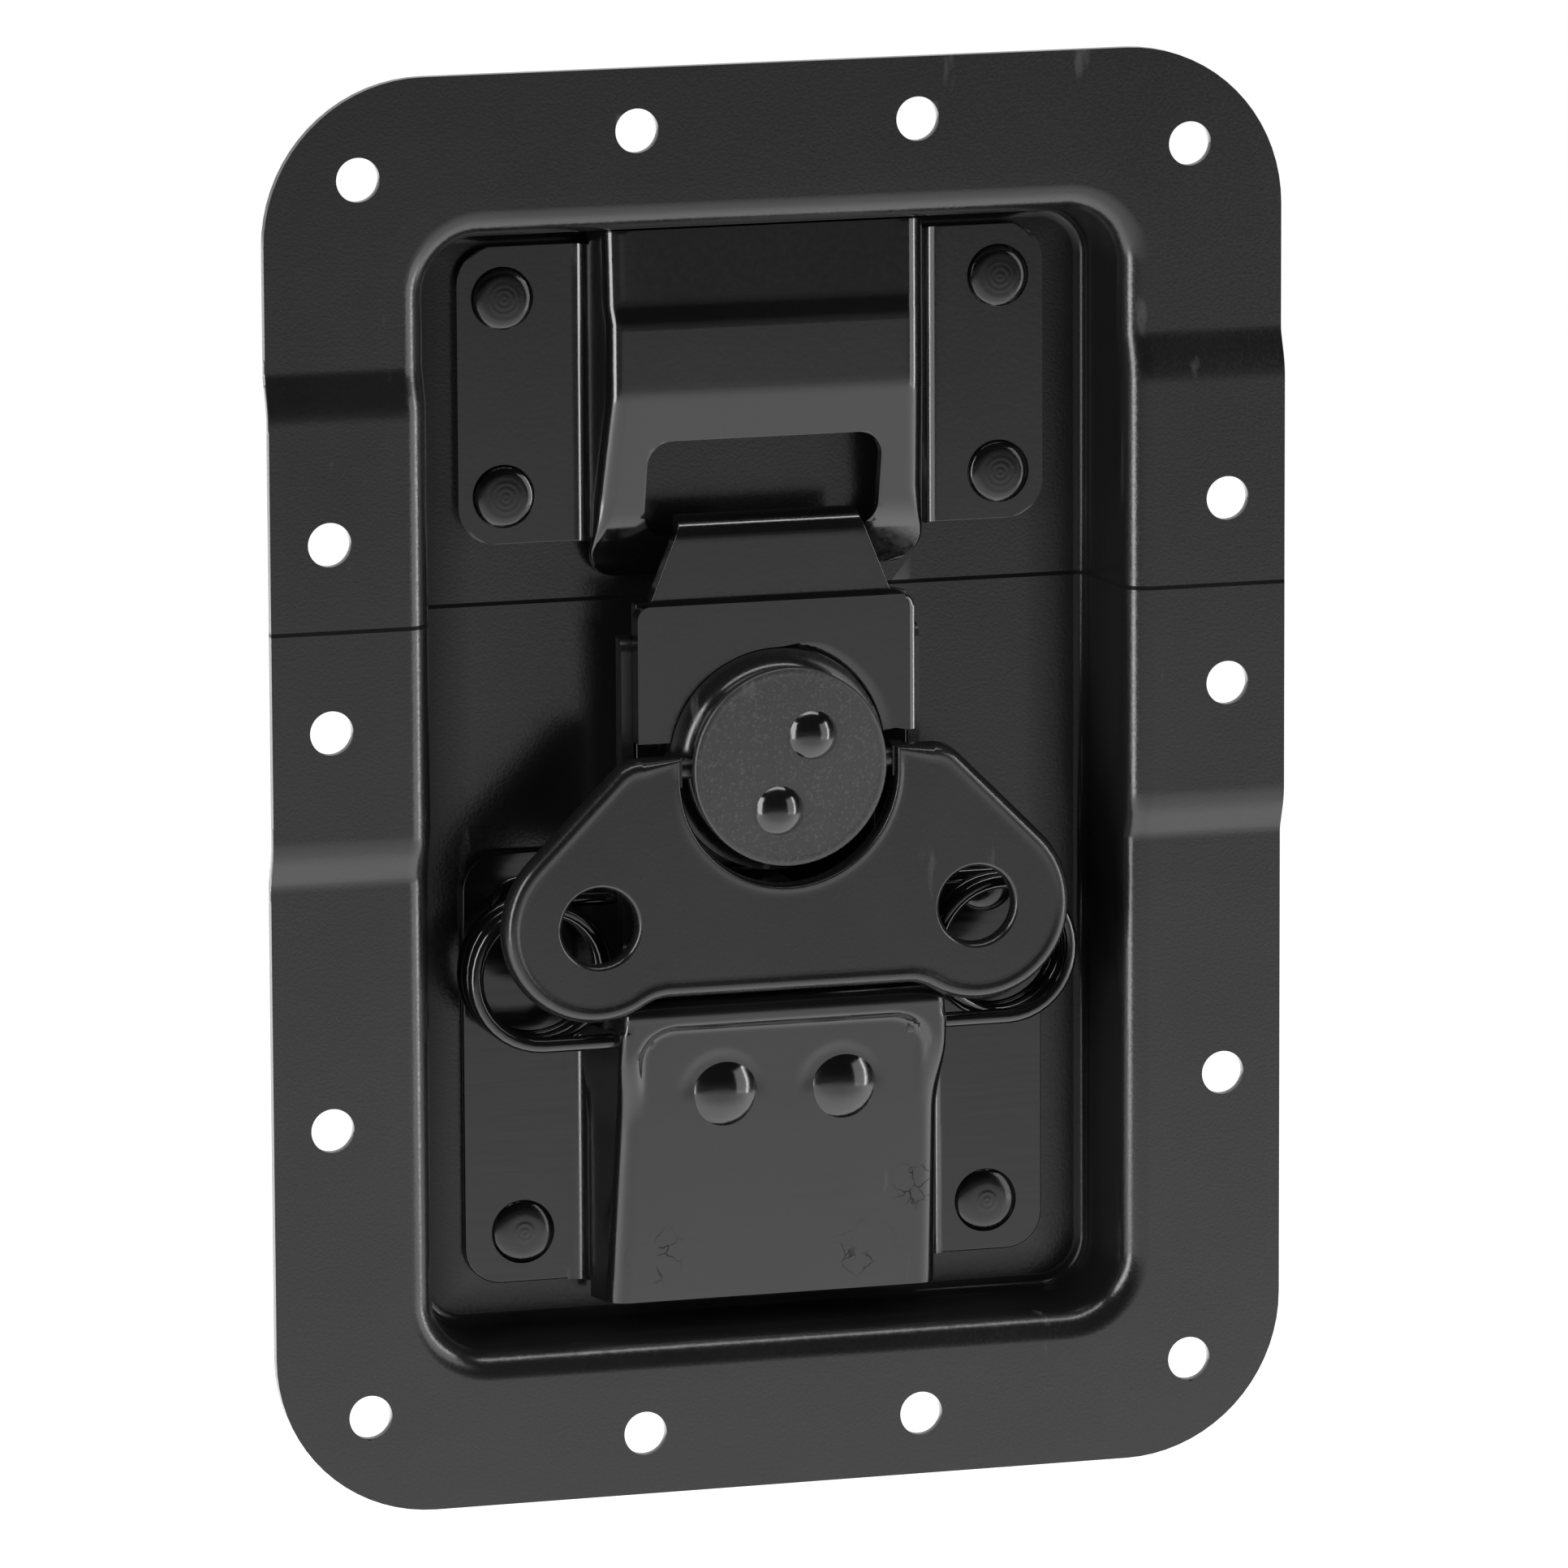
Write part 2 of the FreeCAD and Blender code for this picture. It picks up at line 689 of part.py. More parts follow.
def buildHousing():
    body = pressedBox("latch_housing", coverProfile("0", "0"), "ridgeOuter", "coverTopY",
                      "coverWidth / 2", "coverDraft", "coverEdge", "coverBow")
    hollow = pressedBox("housingHollow", coverProfile("housingSheet", "2"),
                        "ridgeOuter - housingSheet", "coverTopY",
                        "coverWidth / 2 - housingSheet / cos(coverDraft * 1deg)", "coverDraft",
                        "coverEdge - housingSheet", "coverBow")
    subtract(body, "housingInside", hollow)
    for sign, label in (("-", "Left"), ("", "Right")):
        roundedPlate(body, f"housing{label}", f"{sign}(coverWidth / 2 + 2)", f"{sign}housingSpan / 2",
                     "housingLow", "housingHigh", "floorFace - housingSheet", "housingSheet",
                     "housingCorner")
    holes = front(body, "housingHoles", "floorFace - housingSheet - 1")
    for across, up in housingRivetSpots():
        circle(holes, across, up, "rivetShank / 2 + holeClear")
    pocket(holes, "housingSheet + 2")
    wire = circle(side(body, "wireHoles"), "hingeY", "hingeZ", "wireSize / 2 + wireEase")
    pocket(wire, "60", both=True)
    coverRivetHoles(body, "coverHoles")


buildKeeper()
rivetBody("keeper_rivets", ("keeperRivetX / 2", "keeperRivetLow"), "keeperRivetHigh - keeperRivetLow",
          "floorFace - keeperSheet", "rivetHead / 2", "rivetCrown", "rivetShank / 2",
          "recessDepth", "rivetTail / 2")
buildHousing()
rivetBody("housing_rivets", ("housingRivetX / 2", "housingRivetLow"),
          "housingRivetHigh - housingRivetLow", "floorFace - housingSheet", "housingRivetHead / 2",
          "rivetCrown", "rivetShank / 2", "recessDepth", "rivetTail / 2")


# Clamp strip: riveted under the cover, its upper end curled behind the wire


def buildClamp():
    body = newBody("wire_clamp")
    slope = "(coverFootY - coverTopY) / (coverShoulder - coverFoot)"
    front_ = f"coverTopY + housingSheet * 1.01 + {slope} * (coverShoulder - clampLow) + layerGap"
    upper = "coverTopY + housingSheet * 1.01 + layerGap"
    profile = polygon(side(body, "clampStrip"), [
        (front_, "clampLow"), (upper, "coverShoulder"), ("hingeY - 0.2", "hingeZ - clampOuter + 0.1"),
        ("hingeY", "hingeZ - clampOuter + 0.6"), ("hingeY + 0.7", "hingeZ - clampOuter + 0.6"),
        (f"{upper} + clampSheet", "coverShoulder"), (f"{front_} + clampSheet", "clampLow")])
    pad(profile, "clampWidth", both=True)
    pad(circle(side(body, "clampCurl"), "hingeY", "hingeZ", "clampOuter"), "clampWidth", both=True)
    pocket(circle(side(body, "clampBore"), "hingeY", "hingeZ", "clampOuter - clampSheet"),
           "clampWidth + 2", both=True)
    open_ = rectangle(side(body, "clampMouth"), "hingeY - clampOuter - 1", "hingeY",
                      "hingeZ - clampOuter + 0.7", "hingeZ + clampOuter + 1")
    pocket(open_, "clampWidth + 2", both=True)
    coverRivetHoles(body, "clampHoles")


# Carrier: a channel that swings on the wire and holds the hook plate and the cam


def buildCarrier():
    body = newBody("carrier")
    back = "carrierBack"
    pad(polygon(front(body, "carrierPlate", f"{back} - carrierSheet"), [
        ("-carrierWidth / 2", "carrierNeck"), ("-carrierWidth / 2 + earInset", "carrierNeck"),
        ("-carrierWidth / 2 + earInset", "carrierFoot"), ("carrierWidth / 2 - earInset", "carrierFoot"),
        ("carrierWidth / 2 - earInset", "carrierNeck"), ("carrierWidth / 2", "carrierNeck"),
        ("carrierWidth / 2", "carrierTop"), ("-carrierWidth / 2", "carrierTop")]), "carrierSheet")
    for sign, label in (("-", "Left"), ("", "Right")):
        wall = rectangle(front(body, f"carrierWall{label}", "carrierFront"),
                         f"{sign}(carrierWidth / 2 - carrierSheet)", f"{sign}carrierWidth / 2",
                         "carrierWallLow", "carrierTop")
        pad(wall, f"{back} - carrierFront")
        ear = f"carrierWidth / 2 - earInset{' - carrierSheet' if not sign else ''}"
        neck = rectangle(side(body, f"carrierNeck{label}", f"{sign}({ear})"), "hingeY", back,
                         "carrierFoot", "hingeZ + 1")
        pad(neck, "carrierSheet")
        knuckle = circle(side(body, f"carrierKnuckle{label}", f"{sign}({ear})"), "hingeY", "hingeZ",
                         "knuckleRadius")
        pad(knuckle, "carrierSheet")
    half = number("carrierWidth / 2")
    roundEdges(body, "carrierBends", "carrierBend", lambda e: runs(e, "z")
               and near(abs(e.CenterOfMass.x), half) and near(e.CenterOfMass.y, number(back)))
    roundEdges(body, "carrierWallEnds", "1.5", lambda e: runs(e, "x")
               and near(e.CenterOfMass.y, number("carrierFront")) and near(e.Length, number("carrierSheet")))
    bore = circle(side(body, "carrierBore"), "hingeY", "hingeZ", "wireSize / 2 + turnFit")
    pocket(bore, "60", both=True)
    holes = front(body, "carrierHoles", f"{back} - carrierSheet - 1")
    circle(holes, "0", "axisZ", "studSize / 2")
    circle(holes, "0", "guideZ", "guideShank / 2")
    pocket(holes, "carrierSheet + 2")


# Hook plate: raised pad with an arch for the drum, window for the cam and a folded lip


def buildHook():
    body = newBody("hook_plate")
    base = "hookFront"
    top = "lipUnder + hookSheet"
    raised = rectangle(front(body, "hookPad", f"{base} - padRise"), "-padWidth / 2", "padWidth / 2",
                       "padLow", "hookShoulder")
    pad(raised, "padRise")
    roundEdges(body, "padCorners", "padCorner", lambda e: runs(e, "y")
               and near(e.CenterOfMass.z, number("hookShoulder")))
    pad(polygon(front(body, "hookPlate", base), [
        ("-hookWidth / 2", "hookTail"), ("hookWidth / 2", "hookTail"),
        ("hookWidth / 2", "hookShoulder"), ("hookNeckWidth / 2", "hookShoulder + 0.8"),
        ("hookTipWidth / 2", "lipUnder - 0.7"), ("hookTipWidth / 2", top),
        ("-hookTipWidth / 2", top), ("-hookTipWidth / 2", "lipUnder - 0.7"),
        ("-hookNeckWidth / 2", "hookShoulder + 0.8"), ("-hookWidth / 2", "hookShoulder")]),
        "hookSheet")
    pad(rectangle(front(body, "hookLip", base), "-hookTipWidth / 2", "hookTipWidth / 2",
                  "lipUnder", top), f"lipReach - {base}")
    roundEdges(body, "lipBend", "hookSheet + 0.5", lambda e: runs(e, "x")
               and near(e.CenterOfMass.y, number(base)) and near(e.CenterOfMass.z, number(top)))
    roundEdges(body, "lipCrease", "0.5", lambda e: runs(e, "x")
               and near(e.CenterOfMass.y, number(f"{base} + hookSheet"))
               and near(e.CenterOfMass.z, number("lipUnder")))
    tip = number("hookTipWidth / 2")
    roundEdges(body, "lipCorners", "2", lambda e: runs(e, "z")
               and near(e.CenterOfMass.y, number("lipReach")) and near(abs(e.CenterOfMass.x), tip))
    pocket(circle(front(body, "hookArch", f"{base} - padRise"), "0", "axisZ", "archRadius"), "padRise")
    roundEdges(body, "padEdges", "padEdge", lambda e: level(e, "y", number(f"{base} - padRise")))
    hollow = front(body, "padHollow", f"{base} + hookSheet - padRise")
    for sign in ("", "-"):
        polygon(hollow, [(f"{sign}(padWidth / 2 - hookSheet)", "hookShoulder - hookSheet"),
                         (f"{sign}(padWidth / 2 - hookSheet)", "axisZ + 6.7"),
                         (f"{sign}6", "hookShoulder - hookSheet")])
    pocket(hollow, "padRise")
    window = rectangle(front(body, "hookWindow", f"{base} - 1"), "-windowWidth / 2",
                       "windowWidth / 2", "axisZ - camThrow - camRadius - camSlack",
                       "axisZ - camThrow + camRadius + camSlack")
    pocket(window, "hookSheet + 2")
    slot = front(body, "guideSlot", f"{base} - 1")
    rectangle(slot, "-guideShank / 2 - guideFit", "guideShank / 2 + guideFit",
              "guideZ - guideRun", "guideZ + guideShank / 2 + guideFit")
    pocket(slot, "hookSheet + 2")
    roundEdges(body, "guideSlotEnds", "guideShank / 2 + guideFit - 0.01", lambda e: runs(e, "y")
               and near(abs(e.CenterOfMass.x), number("guideShank / 2 + guideFit")))


# Turned pieces about the cam's axis


def turned(label, rings, bores=(), across="0", up="axisZ"):
    """Discs stacked along Y: rings and bores are (front depth, thickness, radius)."""
    body = newBody(label)
    for i, (depth, thickness, radius) in enumerate(rings):
        pad(circle(front(body, f"{label}Ring{i}", depth), across, up, radius), thickness)
    for i, (depth, thickness, radius) in enumerate(bores):
        pocket(circle(front(body, f"{label}Bore{i}", depth), across, up, radius), thickness)
    return body


def capRivetSpots():
    return [("capRivetUpperX", "capRivetUpperZ"), ("capRivetLowerX", "capRivetLowerZ")]


def rivetPassages(body, name, depth, thickness):
    """Holes for the two rivets that hold cap, drum and cam together."""
    holes = front(body, name, depth)
    for across, up in capRivetSpots():
        circle(holes, across, up, "capRivet / 2 + holeClear / 2")
    pocket(holes, thickness)


def buildCamGroup():
    drumTop = "capFront + capSheet"
    camTop = "camFront"
    cam = newBody("cam")
    pad(circle(front(cam, "camDisc", camTop), "0", "axisZ - camThrow", "camRadius"), "camSheet")
    pocket(circle(front(cam, "camBore", f"{camTop} - 1"), "0", "axisZ", "studSize / 2 + turnFit"),
           "camSheet + 2")
    rivetPassages(cam, "camRivetHoles", f"{camTop} - 1", "camSheet + 2")
    drum = turned("drum", [(drumTop, f"{camTop} - ({drumTop})", "drumRadius"),
                           ("drumBaseFront", f"{camTop} - drumBaseFront", "drumBaseRadius")],
                  [(drumTop, f"{camTop} - ({drumTop})", "studSize / 2 + turnFit"),
                   (drumTop, "studHeadHeight + 0.1", "studHead / 2 + 0.2")])
    rivetPassages(drum, "drumRivetHoles", f"{drumTop} - 1", f"{camTop} - ({drumTop}) + 2")
    roundEdges(drum, "drumFoot", "0.9", lambda e: level(e, "y", number("drumBaseFront"))
               and near(e.Length, 2 * math.pi * number("drumRadius"), 0.1))
    for sign in ("-", ""):
        label = "Left" if sign else "Right"
        depth = side(drum, f"drumPin{label}", f"{sign}pinDepth")
        circle(depth, "pinY", "axisZ", "pinSize / 2")
        pocket(depth, "6", inward=not sign)
    cap = turned("cap_disc", [("capFront", "capSheet", "capRadius")])
    breakEdges(cap, "capChamfer", "0.35", lambda e: level(e, "y", number("capFront")))
    rivetPassages(cap, "capRivetHoles", "capFront - 1", "capSheet + 2")
    rivets = newBody("cap_rivets")
    heads = front(rivets, "capHeads", "capFront - capRivetRise")
    shanks = front(rivets, "capShanks", "capFront - 0.2")
    for across, up in capRivetSpots():
        circle(heads, across, up, "capRivetHead / 2")
        circle(shanks, across, up, "capRivet / 2")
    pad(heads, "capRivetRise")
    roundEdges(rivets, "capCrowns", "capRivetRise - 0.05",
               lambda e: level(e, "y", number("capFront - capRivetRise")))
    pad(shanks, f"{camTop} + camSheet - capFront + 0.2")
    pins = newBody("handle_pins")
    for sign in ("-", ""):
        label = "Left" if sign else "Right"
        ring = circle(side(pins, f"pin{label}", f"{sign}pinDepth"), "pinY", "axisZ", "pinSize / 2")
        pad(ring, "pinTip - pinDepth", inward=not sign)


def buildStuds():
    drumTop = "capFront + capSheet"
    turned("cam_stud", [(f"{drumTop} + 0.05", "studHeadHeight", "studHead / 2"),
                        (f"{drumTop} + 0.05", f"carrierBack + washerThickness - ({drumTop})",
                         "studSize / 2"),
                        ("carrierBack + washerThickness", "1", "studSize / 2 + 1.2")])
    turned("stud_washer", [("carrierBack", "washerThickness", "washerRadius")],
           [("carrierBack - 1", "washerThickness + 2", "studSize / 2 + holeClear / 2")])
    guide = turned("guide_rivet", [("hookFront - layerClear / 2 - guideHeight", "guideHeight",
                                    "guideHead / 2"),
                                   ("hookFront - layerClear / 2 - guideHeight",
                                    "carrierBack - hookFront + layerClear / 2 + guideHeight",
                                    "guideShank / 2"),
                                   ("carrierBack", "0.9", "guideShank / 2 + 1")], up="guideZ")
    breakEdges(guide, "guideRim", "0.3", lambda e: near(
        e.CenterOfMass.y, number("hookFront - layerClear / 2 - guideHeight"), 0.02))


# Butterfly handle: a shallow dished wing each side of the drum


def handleSolid(label, depth, thickness, inset):
    """The wing outline as a solid, every edge moved in by inset."""
    body = newBody(label)
    reach = f"(lobeRadius - {inset})"
    shoulder = f"lobeX + lobeZ + {reach} * 1.41421 - (handleTop - {inset})"
    touchX, touchZ = f"lobeX + {reach} * 0.70711", f"lobeZ + {reach} * 0.70711"
    half = [(shoulder, f"handleTop - {inset}"), (touchX, touchZ), ("lobeX", "lobeZ"),
            ("lobeX - 6", f"handleBottom + {inset}")]
    outline = half + [(f"-({across})", up) for across, up in reversed(half)]
    pad(polygon(front(body, label + "Wings", depth), outline), thickness)
    for sign, part in (("-", "Left"), ("", "Right")):
        pad(circle(front(body, f"{label}Lobe{part}", depth), f"{sign}lobeX", "lobeZ", reach), thickness)
    corner = number(shoulder)
    roundEdges(body, label + "Shoulders", f"shoulderRadius - {inset}", lambda e: runs(e, "y")
               and near(abs(e.CenterOfMass.x), corner) and e.CenterOfMass.z > 0)
    roundEdges(body, label + "Waist", f"waistRadius + {inset}", lambda e: runs(e, "y")
               and near(e.CenterOfMass.z, number(f"handleBottom + {inset}")))
    notch = front(body, label + "Notch", f"{depth} - 1")
    circle(notch, "0", "notchZ", f"notchRadius + {inset}")
    pocket(notch, f"{thickness} + 2")
    mouth = rectangle(front(body, label + "Mouth", f"{depth} - 1"), f"-notchRadius - {inset}",
                      f"notchRadius + {inset}", "notchZ", "handleTop + 1")
    pocket(mouth, f"{thickness} + 2")
    fingers = front(body, label + "Fingers", f"{depth} - 1")
    for sign in ("-", ""):
        circle(fingers, f"{sign}fingerHoleX", "fingerHoleZ", f"fingerHole / 2 + {inset}")
    pocket(fingers, f"{thickness} + 2")
    return body


def buildHandle():
    body = handleSolid("handle", "handleFront", "handleDepth", "0")
    frontY = number("handleFront")
    outer = number("notchRadius") + 0.2

    def onRim(edge):
        centre = edge.CenterOfMass
        round_ = math.hypot(centre.x, centre.z - number("notchZ")) > outer and not isHole(edge)
        return level(edge, "y", frontY) and round_ and abs(centre.x) != number("notchRadius")

    def isHole(edge):
        return near(edge.Length, math.pi * number("fingerHole"), 0.1)

    hollow = handleSolid("handleHollow", "handleFront + handleSheet", "handleDepth", "handleSheet")
    subtract(body, "handleInside", hollow)
    roundEdges(body, "handleRoll", "handleRoll", onRim)
    roundEdges(body, "fingerRoll", "0.9", lambda e: level(e, "y", frontY) and isHole(e))
    for sign in ("-", ""):
        label = "Left" if sign else "Right"
        ear = side(body, f"handleEar{label}", f"{sign}earInner")
        rectangle(ear, "handleFront + 0.6", "pinY", "axisZ - earRadius", "handleTop - 0.1")
        pad(ear, "earThickness", inward=not sign)
        knuckle = circle(side(body, f"handleKnuckle{label}", f"{sign}earInner"), "pinY", "axisZ",
                         "earRadius")
        pad(knuckle, "earThickness", inward=not sign)
    pocket(circle(side(body, "handleBore"), "pinY", "axisZ", "pinSize / 2 + turnFit"), "40", both=True)


buildClamp()
rivetBody("cover_rivets", ("coverRivetX / 2", "coverRivetZ"), None, "coverRivetSeat",
          "rivetHead / 2", "rivetCrown", "coverRivet / 2", "coverRivetTail", "coverRivet / 2 + 0.9",
          leaning=True)
buildCarrier()
buildStuds()
buildHook()
buildCamGroup()
buildHandle()



# Return spring: the skill here is one wire that is hinge pin and both coils at once


def springShape():
    axisY, axisZ = number("hingeY"), number("hingeZ")
    reach, radius, turns = number("coilX"), number("coilRadius"), number("coilTurns")
    deep = turns * number("coilPitch")
    coil = Part.makeHelix(number("coilPitch"), deep, radius)
    turn = FreeCAD.Rotation(V(0, 0, -1), V(-1, 0, 0), Y_DIR, "XYZ")
    coil.Placement = FreeCAD.Placement(V(-reach, axisY, axisZ + radius), turn)
    middle, bend = V(0, axisY, axisZ), V(-reach, axisY, axisZ)
    top = V(-reach, axisY + deep, axisZ + 2 * radius)
    tip = V(-number("springTail"), top.y, top.z)
    path = Part.Wire([Part.makeLine(middle, bend)] + coil.Edges + [Part.makeLine(top, tip)])
    ring = Part.Wire([Part.makeCircle(number("wireSize / 2"), middle, V(1, 0, 0))])
    half = path.makePipeShell([ring], True, False)
    return half.fuse(half.mirror(V(0, 0, 0), V(1, 0, 0)))


spring = doc.addObject("Part::Feature", "spring")
spring.Label = "spring"
spring.Shape = springShape()
spring.Placement = FreeCAD.Placement()
doc.recompute()

# Hand the finished pieces over, one file each

nodes = ["upper_dish", "lower_dish", "keeper", "keeper_rivets", "latch_housing", "housing_rivets",
         "cover_rivets", "wire_clamp", "spring", "carrier", "guide_rivet", "cam_stud", "stud_washer",
         "hook_plate", "cam", "drum", "cap_disc", "cap_rivets", "handle_pins", "handle"]
for item in doc.Objects:
    if "Invalid" in item.State or "Error" in item.State:
        raise RuntimeError(f"{item.Label}: {item.State}")
os.makedirs("parts", exist_ok=True)
for node in nodes:
    item = doc.getObjectsByLabel(node)[0]
    if item.Shape.isNull() or not item.Shape.isValid():
        raise RuntimeError(f"{node} has no valid shape")
    item.Shape.exportStep(f"parts/{node}.step")
    print(node, len(item.Shape.Solids), round(item.Shape.Volume, 1))
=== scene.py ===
import bpy
import bmesh
from math import acos, asin, atan2, cos, degrees, hypot, pi, radians, sin, sqrt, tan
from mathutils import Matrix, Vector


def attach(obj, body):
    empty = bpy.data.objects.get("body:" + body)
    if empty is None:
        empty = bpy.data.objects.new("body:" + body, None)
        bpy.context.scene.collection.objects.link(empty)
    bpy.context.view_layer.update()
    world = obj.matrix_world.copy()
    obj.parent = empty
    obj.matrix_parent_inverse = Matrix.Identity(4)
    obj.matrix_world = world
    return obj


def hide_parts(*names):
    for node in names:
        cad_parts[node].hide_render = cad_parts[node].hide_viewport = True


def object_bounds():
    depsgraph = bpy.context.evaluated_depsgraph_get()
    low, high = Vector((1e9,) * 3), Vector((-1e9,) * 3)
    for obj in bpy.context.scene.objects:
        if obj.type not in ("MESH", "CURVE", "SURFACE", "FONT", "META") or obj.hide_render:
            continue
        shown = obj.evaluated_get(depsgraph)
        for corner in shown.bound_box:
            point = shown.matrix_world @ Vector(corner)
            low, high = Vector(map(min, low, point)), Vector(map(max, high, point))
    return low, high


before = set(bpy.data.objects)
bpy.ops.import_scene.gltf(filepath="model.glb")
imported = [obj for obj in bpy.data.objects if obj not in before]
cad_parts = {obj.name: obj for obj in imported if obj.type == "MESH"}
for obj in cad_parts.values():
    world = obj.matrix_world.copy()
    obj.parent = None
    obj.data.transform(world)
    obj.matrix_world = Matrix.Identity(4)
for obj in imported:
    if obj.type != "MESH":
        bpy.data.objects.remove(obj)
cadBox = [list(corner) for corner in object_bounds()]
print("frame loaded")

mm = 0.001
scene = bpy.context.scene


# small tools for points, meshes and modifiers

def arcPoints(cx, cy, radius, start, stop, steps):  # angles in degrees
    found = []
    for i in range(steps + 1):
        a = radians(start + (stop - start) * i / steps)
        found.append((cx + radius * cos(a), cy + radius * sin(a)))
    return found


def evenSteps(start, stop, step):
    count = max(1, round(abs(stop - start) / step))
    return [start + (stop - start) * i / count for i in range(count + 1)]


def roundCorners(corners, steps=10):  # corners are (x, y, radius); gives the rounded outline
    found = []
    for i, (x, y, radius) in enumerate(corners):
        here = Vector((x, y))
        before = Vector(corners[i - 1][:2])
        after = Vector(corners[(i + 1) % len(corners)][:2])
        if radius <= 0:
            found.append((x, y))
            continue
        toBefore, toAfter = (before - here).normalized(), (after - here).normalized()
        half = acos(max(-1, min(1, toBefore.dot(toAfter)))) / 2
        reach = radius / tan(half)
        middle = here + (toBefore + toAfter).normalized() * (radius / sin(half))
        first, last = here + toBefore * reach - middle, here + toAfter * reach - middle
        a, b = atan2(first.y, first.x), atan2(last.y, last.x)
        turn = (b - a + pi) % (2 * pi) - pi
        for k in range(steps + 1):
            angle = a + turn * k / steps
            found.append((middle.x + radius * cos(angle), middle.y + radius * sin(angle)))
    return found


def slopeBreak(value, at, before, after, reach):  # change of slope at a point, rounded over reach
    away = value - at
    if away <= -reach:
        return before * away
    if away >= reach:
        return after * away
    t = (away + reach) / (2 * reach)
    return -before * reach + 2 * reach * (before * t + (after - before) * t * t / 2)


def smoothStep(value, low, high):
    t = max(0.0, min(1.0, (value - low) / (high - low)))
    return t * t * (3 - 2 * t)


def outward(points, distance):  # moves a closed anticlockwise outline along its normals
    moved = []
    count = len(points)
    for i, point in enumerate(points):
        here, before, after = Vector(point), Vector(points[i - 1]), Vector(points[(i + 1) % count])
        a, b = (here - before), (after - here)
        if a.length < 1e-7 or b.length < 1e-7:
            a = b = after - before
        a.normalize()
        b.normalize()
        normal = Vector((a.y + b.y, -a.x - b.x)).normalized()
        lean = max(0.5, normal.dot(Vector((b.y, -b.x))))
        moved.append(tuple(here + normal * (distance / lean)))
    return moved


def makePiece(name, mesh):
    piece = bpy.data.objects.new(name, mesh)
    scene.collection.objects.link(piece)
    return piece


def meshFrom(name, points, faces):
    mesh = bpy.data.meshes.new(name)
    mesh.from_pydata([tuple(c * mm for c in p) for p in points], [], faces)
    mesh.update()
    return mesh


def loftPiece(name, rings, closed=True, fillStart=False, fillEnd=False):
    width = len(rings[0])
    points = [p for ring in rings for p in ring]
    faces = []
    for r in range(len(rings) - 1):
        for i in range(width if closed else width - 1):
            j = (i + 1) % width
            faces.append((r * width + i, r * width + j, (r + 1) * width + j, (r + 1) * width + i))
    if fillStart:
        faces.append(tuple(reversed(range(width))))
    if fillEnd:
        faces.append(tuple((len(rings) - 1) * width + i for i in range(width)))
    return makePiece(name, meshFrom(name, points, faces))


def editMesh(piece, action):
    work = bmesh.new()
    work.from_mesh(piece.data)
    action(work)
    work.to_mesh(piece.data)
    work.free()
    piece.data.update()


def tidyNormals(piece, distance=0.002):
    def action(work):
        bmesh.ops.remove_doubles(work, verts=work.verts, dist=distance * mm)
        bmesh.ops.recalc_face_normals(work, faces=work.faces)
    editMesh(piece, action)


def faceFront(work):  # joins equal points and turns an open sheet's faces to the front
    bmesh.ops.remove_doubles(work, verts=work.verts, dist=0.0005 * mm)
    bmesh.ops.recalc_face_normals(work, faces=work.faces)
    if sum(f.normal.y * f.calc_area() for f in work.faces) > 0:
        bmesh.ops.reverse_faces(work, faces=work.faces)


def bakeModifiers(piece):  # turns the evaluated piece into its own plain mesh
    bpy.context.view_layer.update()
    graph = bpy.context.evaluated_depsgraph_get()
    baked = bpy.data.meshes.new_from_object(piece.evaluated_get(graph))
    piece.modifiers.clear()
    piece.data = baked


def thicken(piece, thickness):  # grows the sheet backwards from its front
    shell = piece.modifiers.new("sheet", "SOLIDIFY")
    shell.thickness = thickness * mm
    shell.offset = -1
    shell.use_even_offset = True
    shell.use_quality_normals = True
    bakeModifiers(piece)


def cutWith(piece, cutters):
    for cutter in cutters:
        tool = piece.modifiers.new("cut", "BOOLEAN")
        tool.object = cutter
        tool.operation = "DIFFERENCE"
        tool.solver = "EXACT"
    bakeModifiers(piece)
    for cutter in cutters:
        bpy.data.objects.remove(cutter)


def softenEdges(piece, width, angle=35, segments=2):
    bevel = piece.modifiers.new("edges", "BEVEL")
    bevel.width = width * mm
    bevel.segments = segments
    bevel.limit_method = "ANGLE"
    bevel.angle_limit = radians(angle)
    bakeModifiers(piece)


def smoothFaces(piece, angle):  # smooth shading that leaves the broad faces flat
    for face in piece.data.polygons:
        face.use_smooth = True
    piece.data.set_sharp_from_angle(angle=radians(angle))
    even = piece.modifiers.new("even", "WEIGHTED_NORMAL")
    even.keep_sharp = True
    even.weight = 60
    bakeModifiers(piece)


def prism(name, outline, near, far):  # outline in x and z, near and far along y
    rings = [[(x, y, z) for x, z in outline] for y in (near, far)]
    piece = loftPiece(name, rings, True, True, True)
    tidyNormals(piece)
    return piece


def rods(name, spots, radius, near, far, sides=48):  # several round bars along y in one mesh
    points, faces = [], []
    for x, z in spots:
        base = len(points)
        for y in (near, far):
            points += [(px, y, pz) for px, pz in arcPoints(x, z, radius, 0, 360, sides)[:-1]]
        for i in range(sides):
            j = (i + 1) % sides
            faces.append((base + i, base + j, base + sides + j, base + sides + i))
        faces.append(tuple(base + i for i in reversed(range(sides))))
        faces.append(tuple(base + sides + i for i in range(sides)))
    piece = makePiece(name, meshFrom(name, points, faces))
    tidyNormals(piece)
    return piece


def lathe(name, profile, cx, cz, sides=96):  # profile is (radius, y) from front axis to back axis
    rings = []
    for radius, y in profile:
        rings.append([(x, y, z) for x, z in arcPoints(cx, cz, max(radius, 0.0005), 0, 360, sides)[:-1]])
    piece = loftPiece(name, rings, True)
    tidyNormals(piece)
    return piece


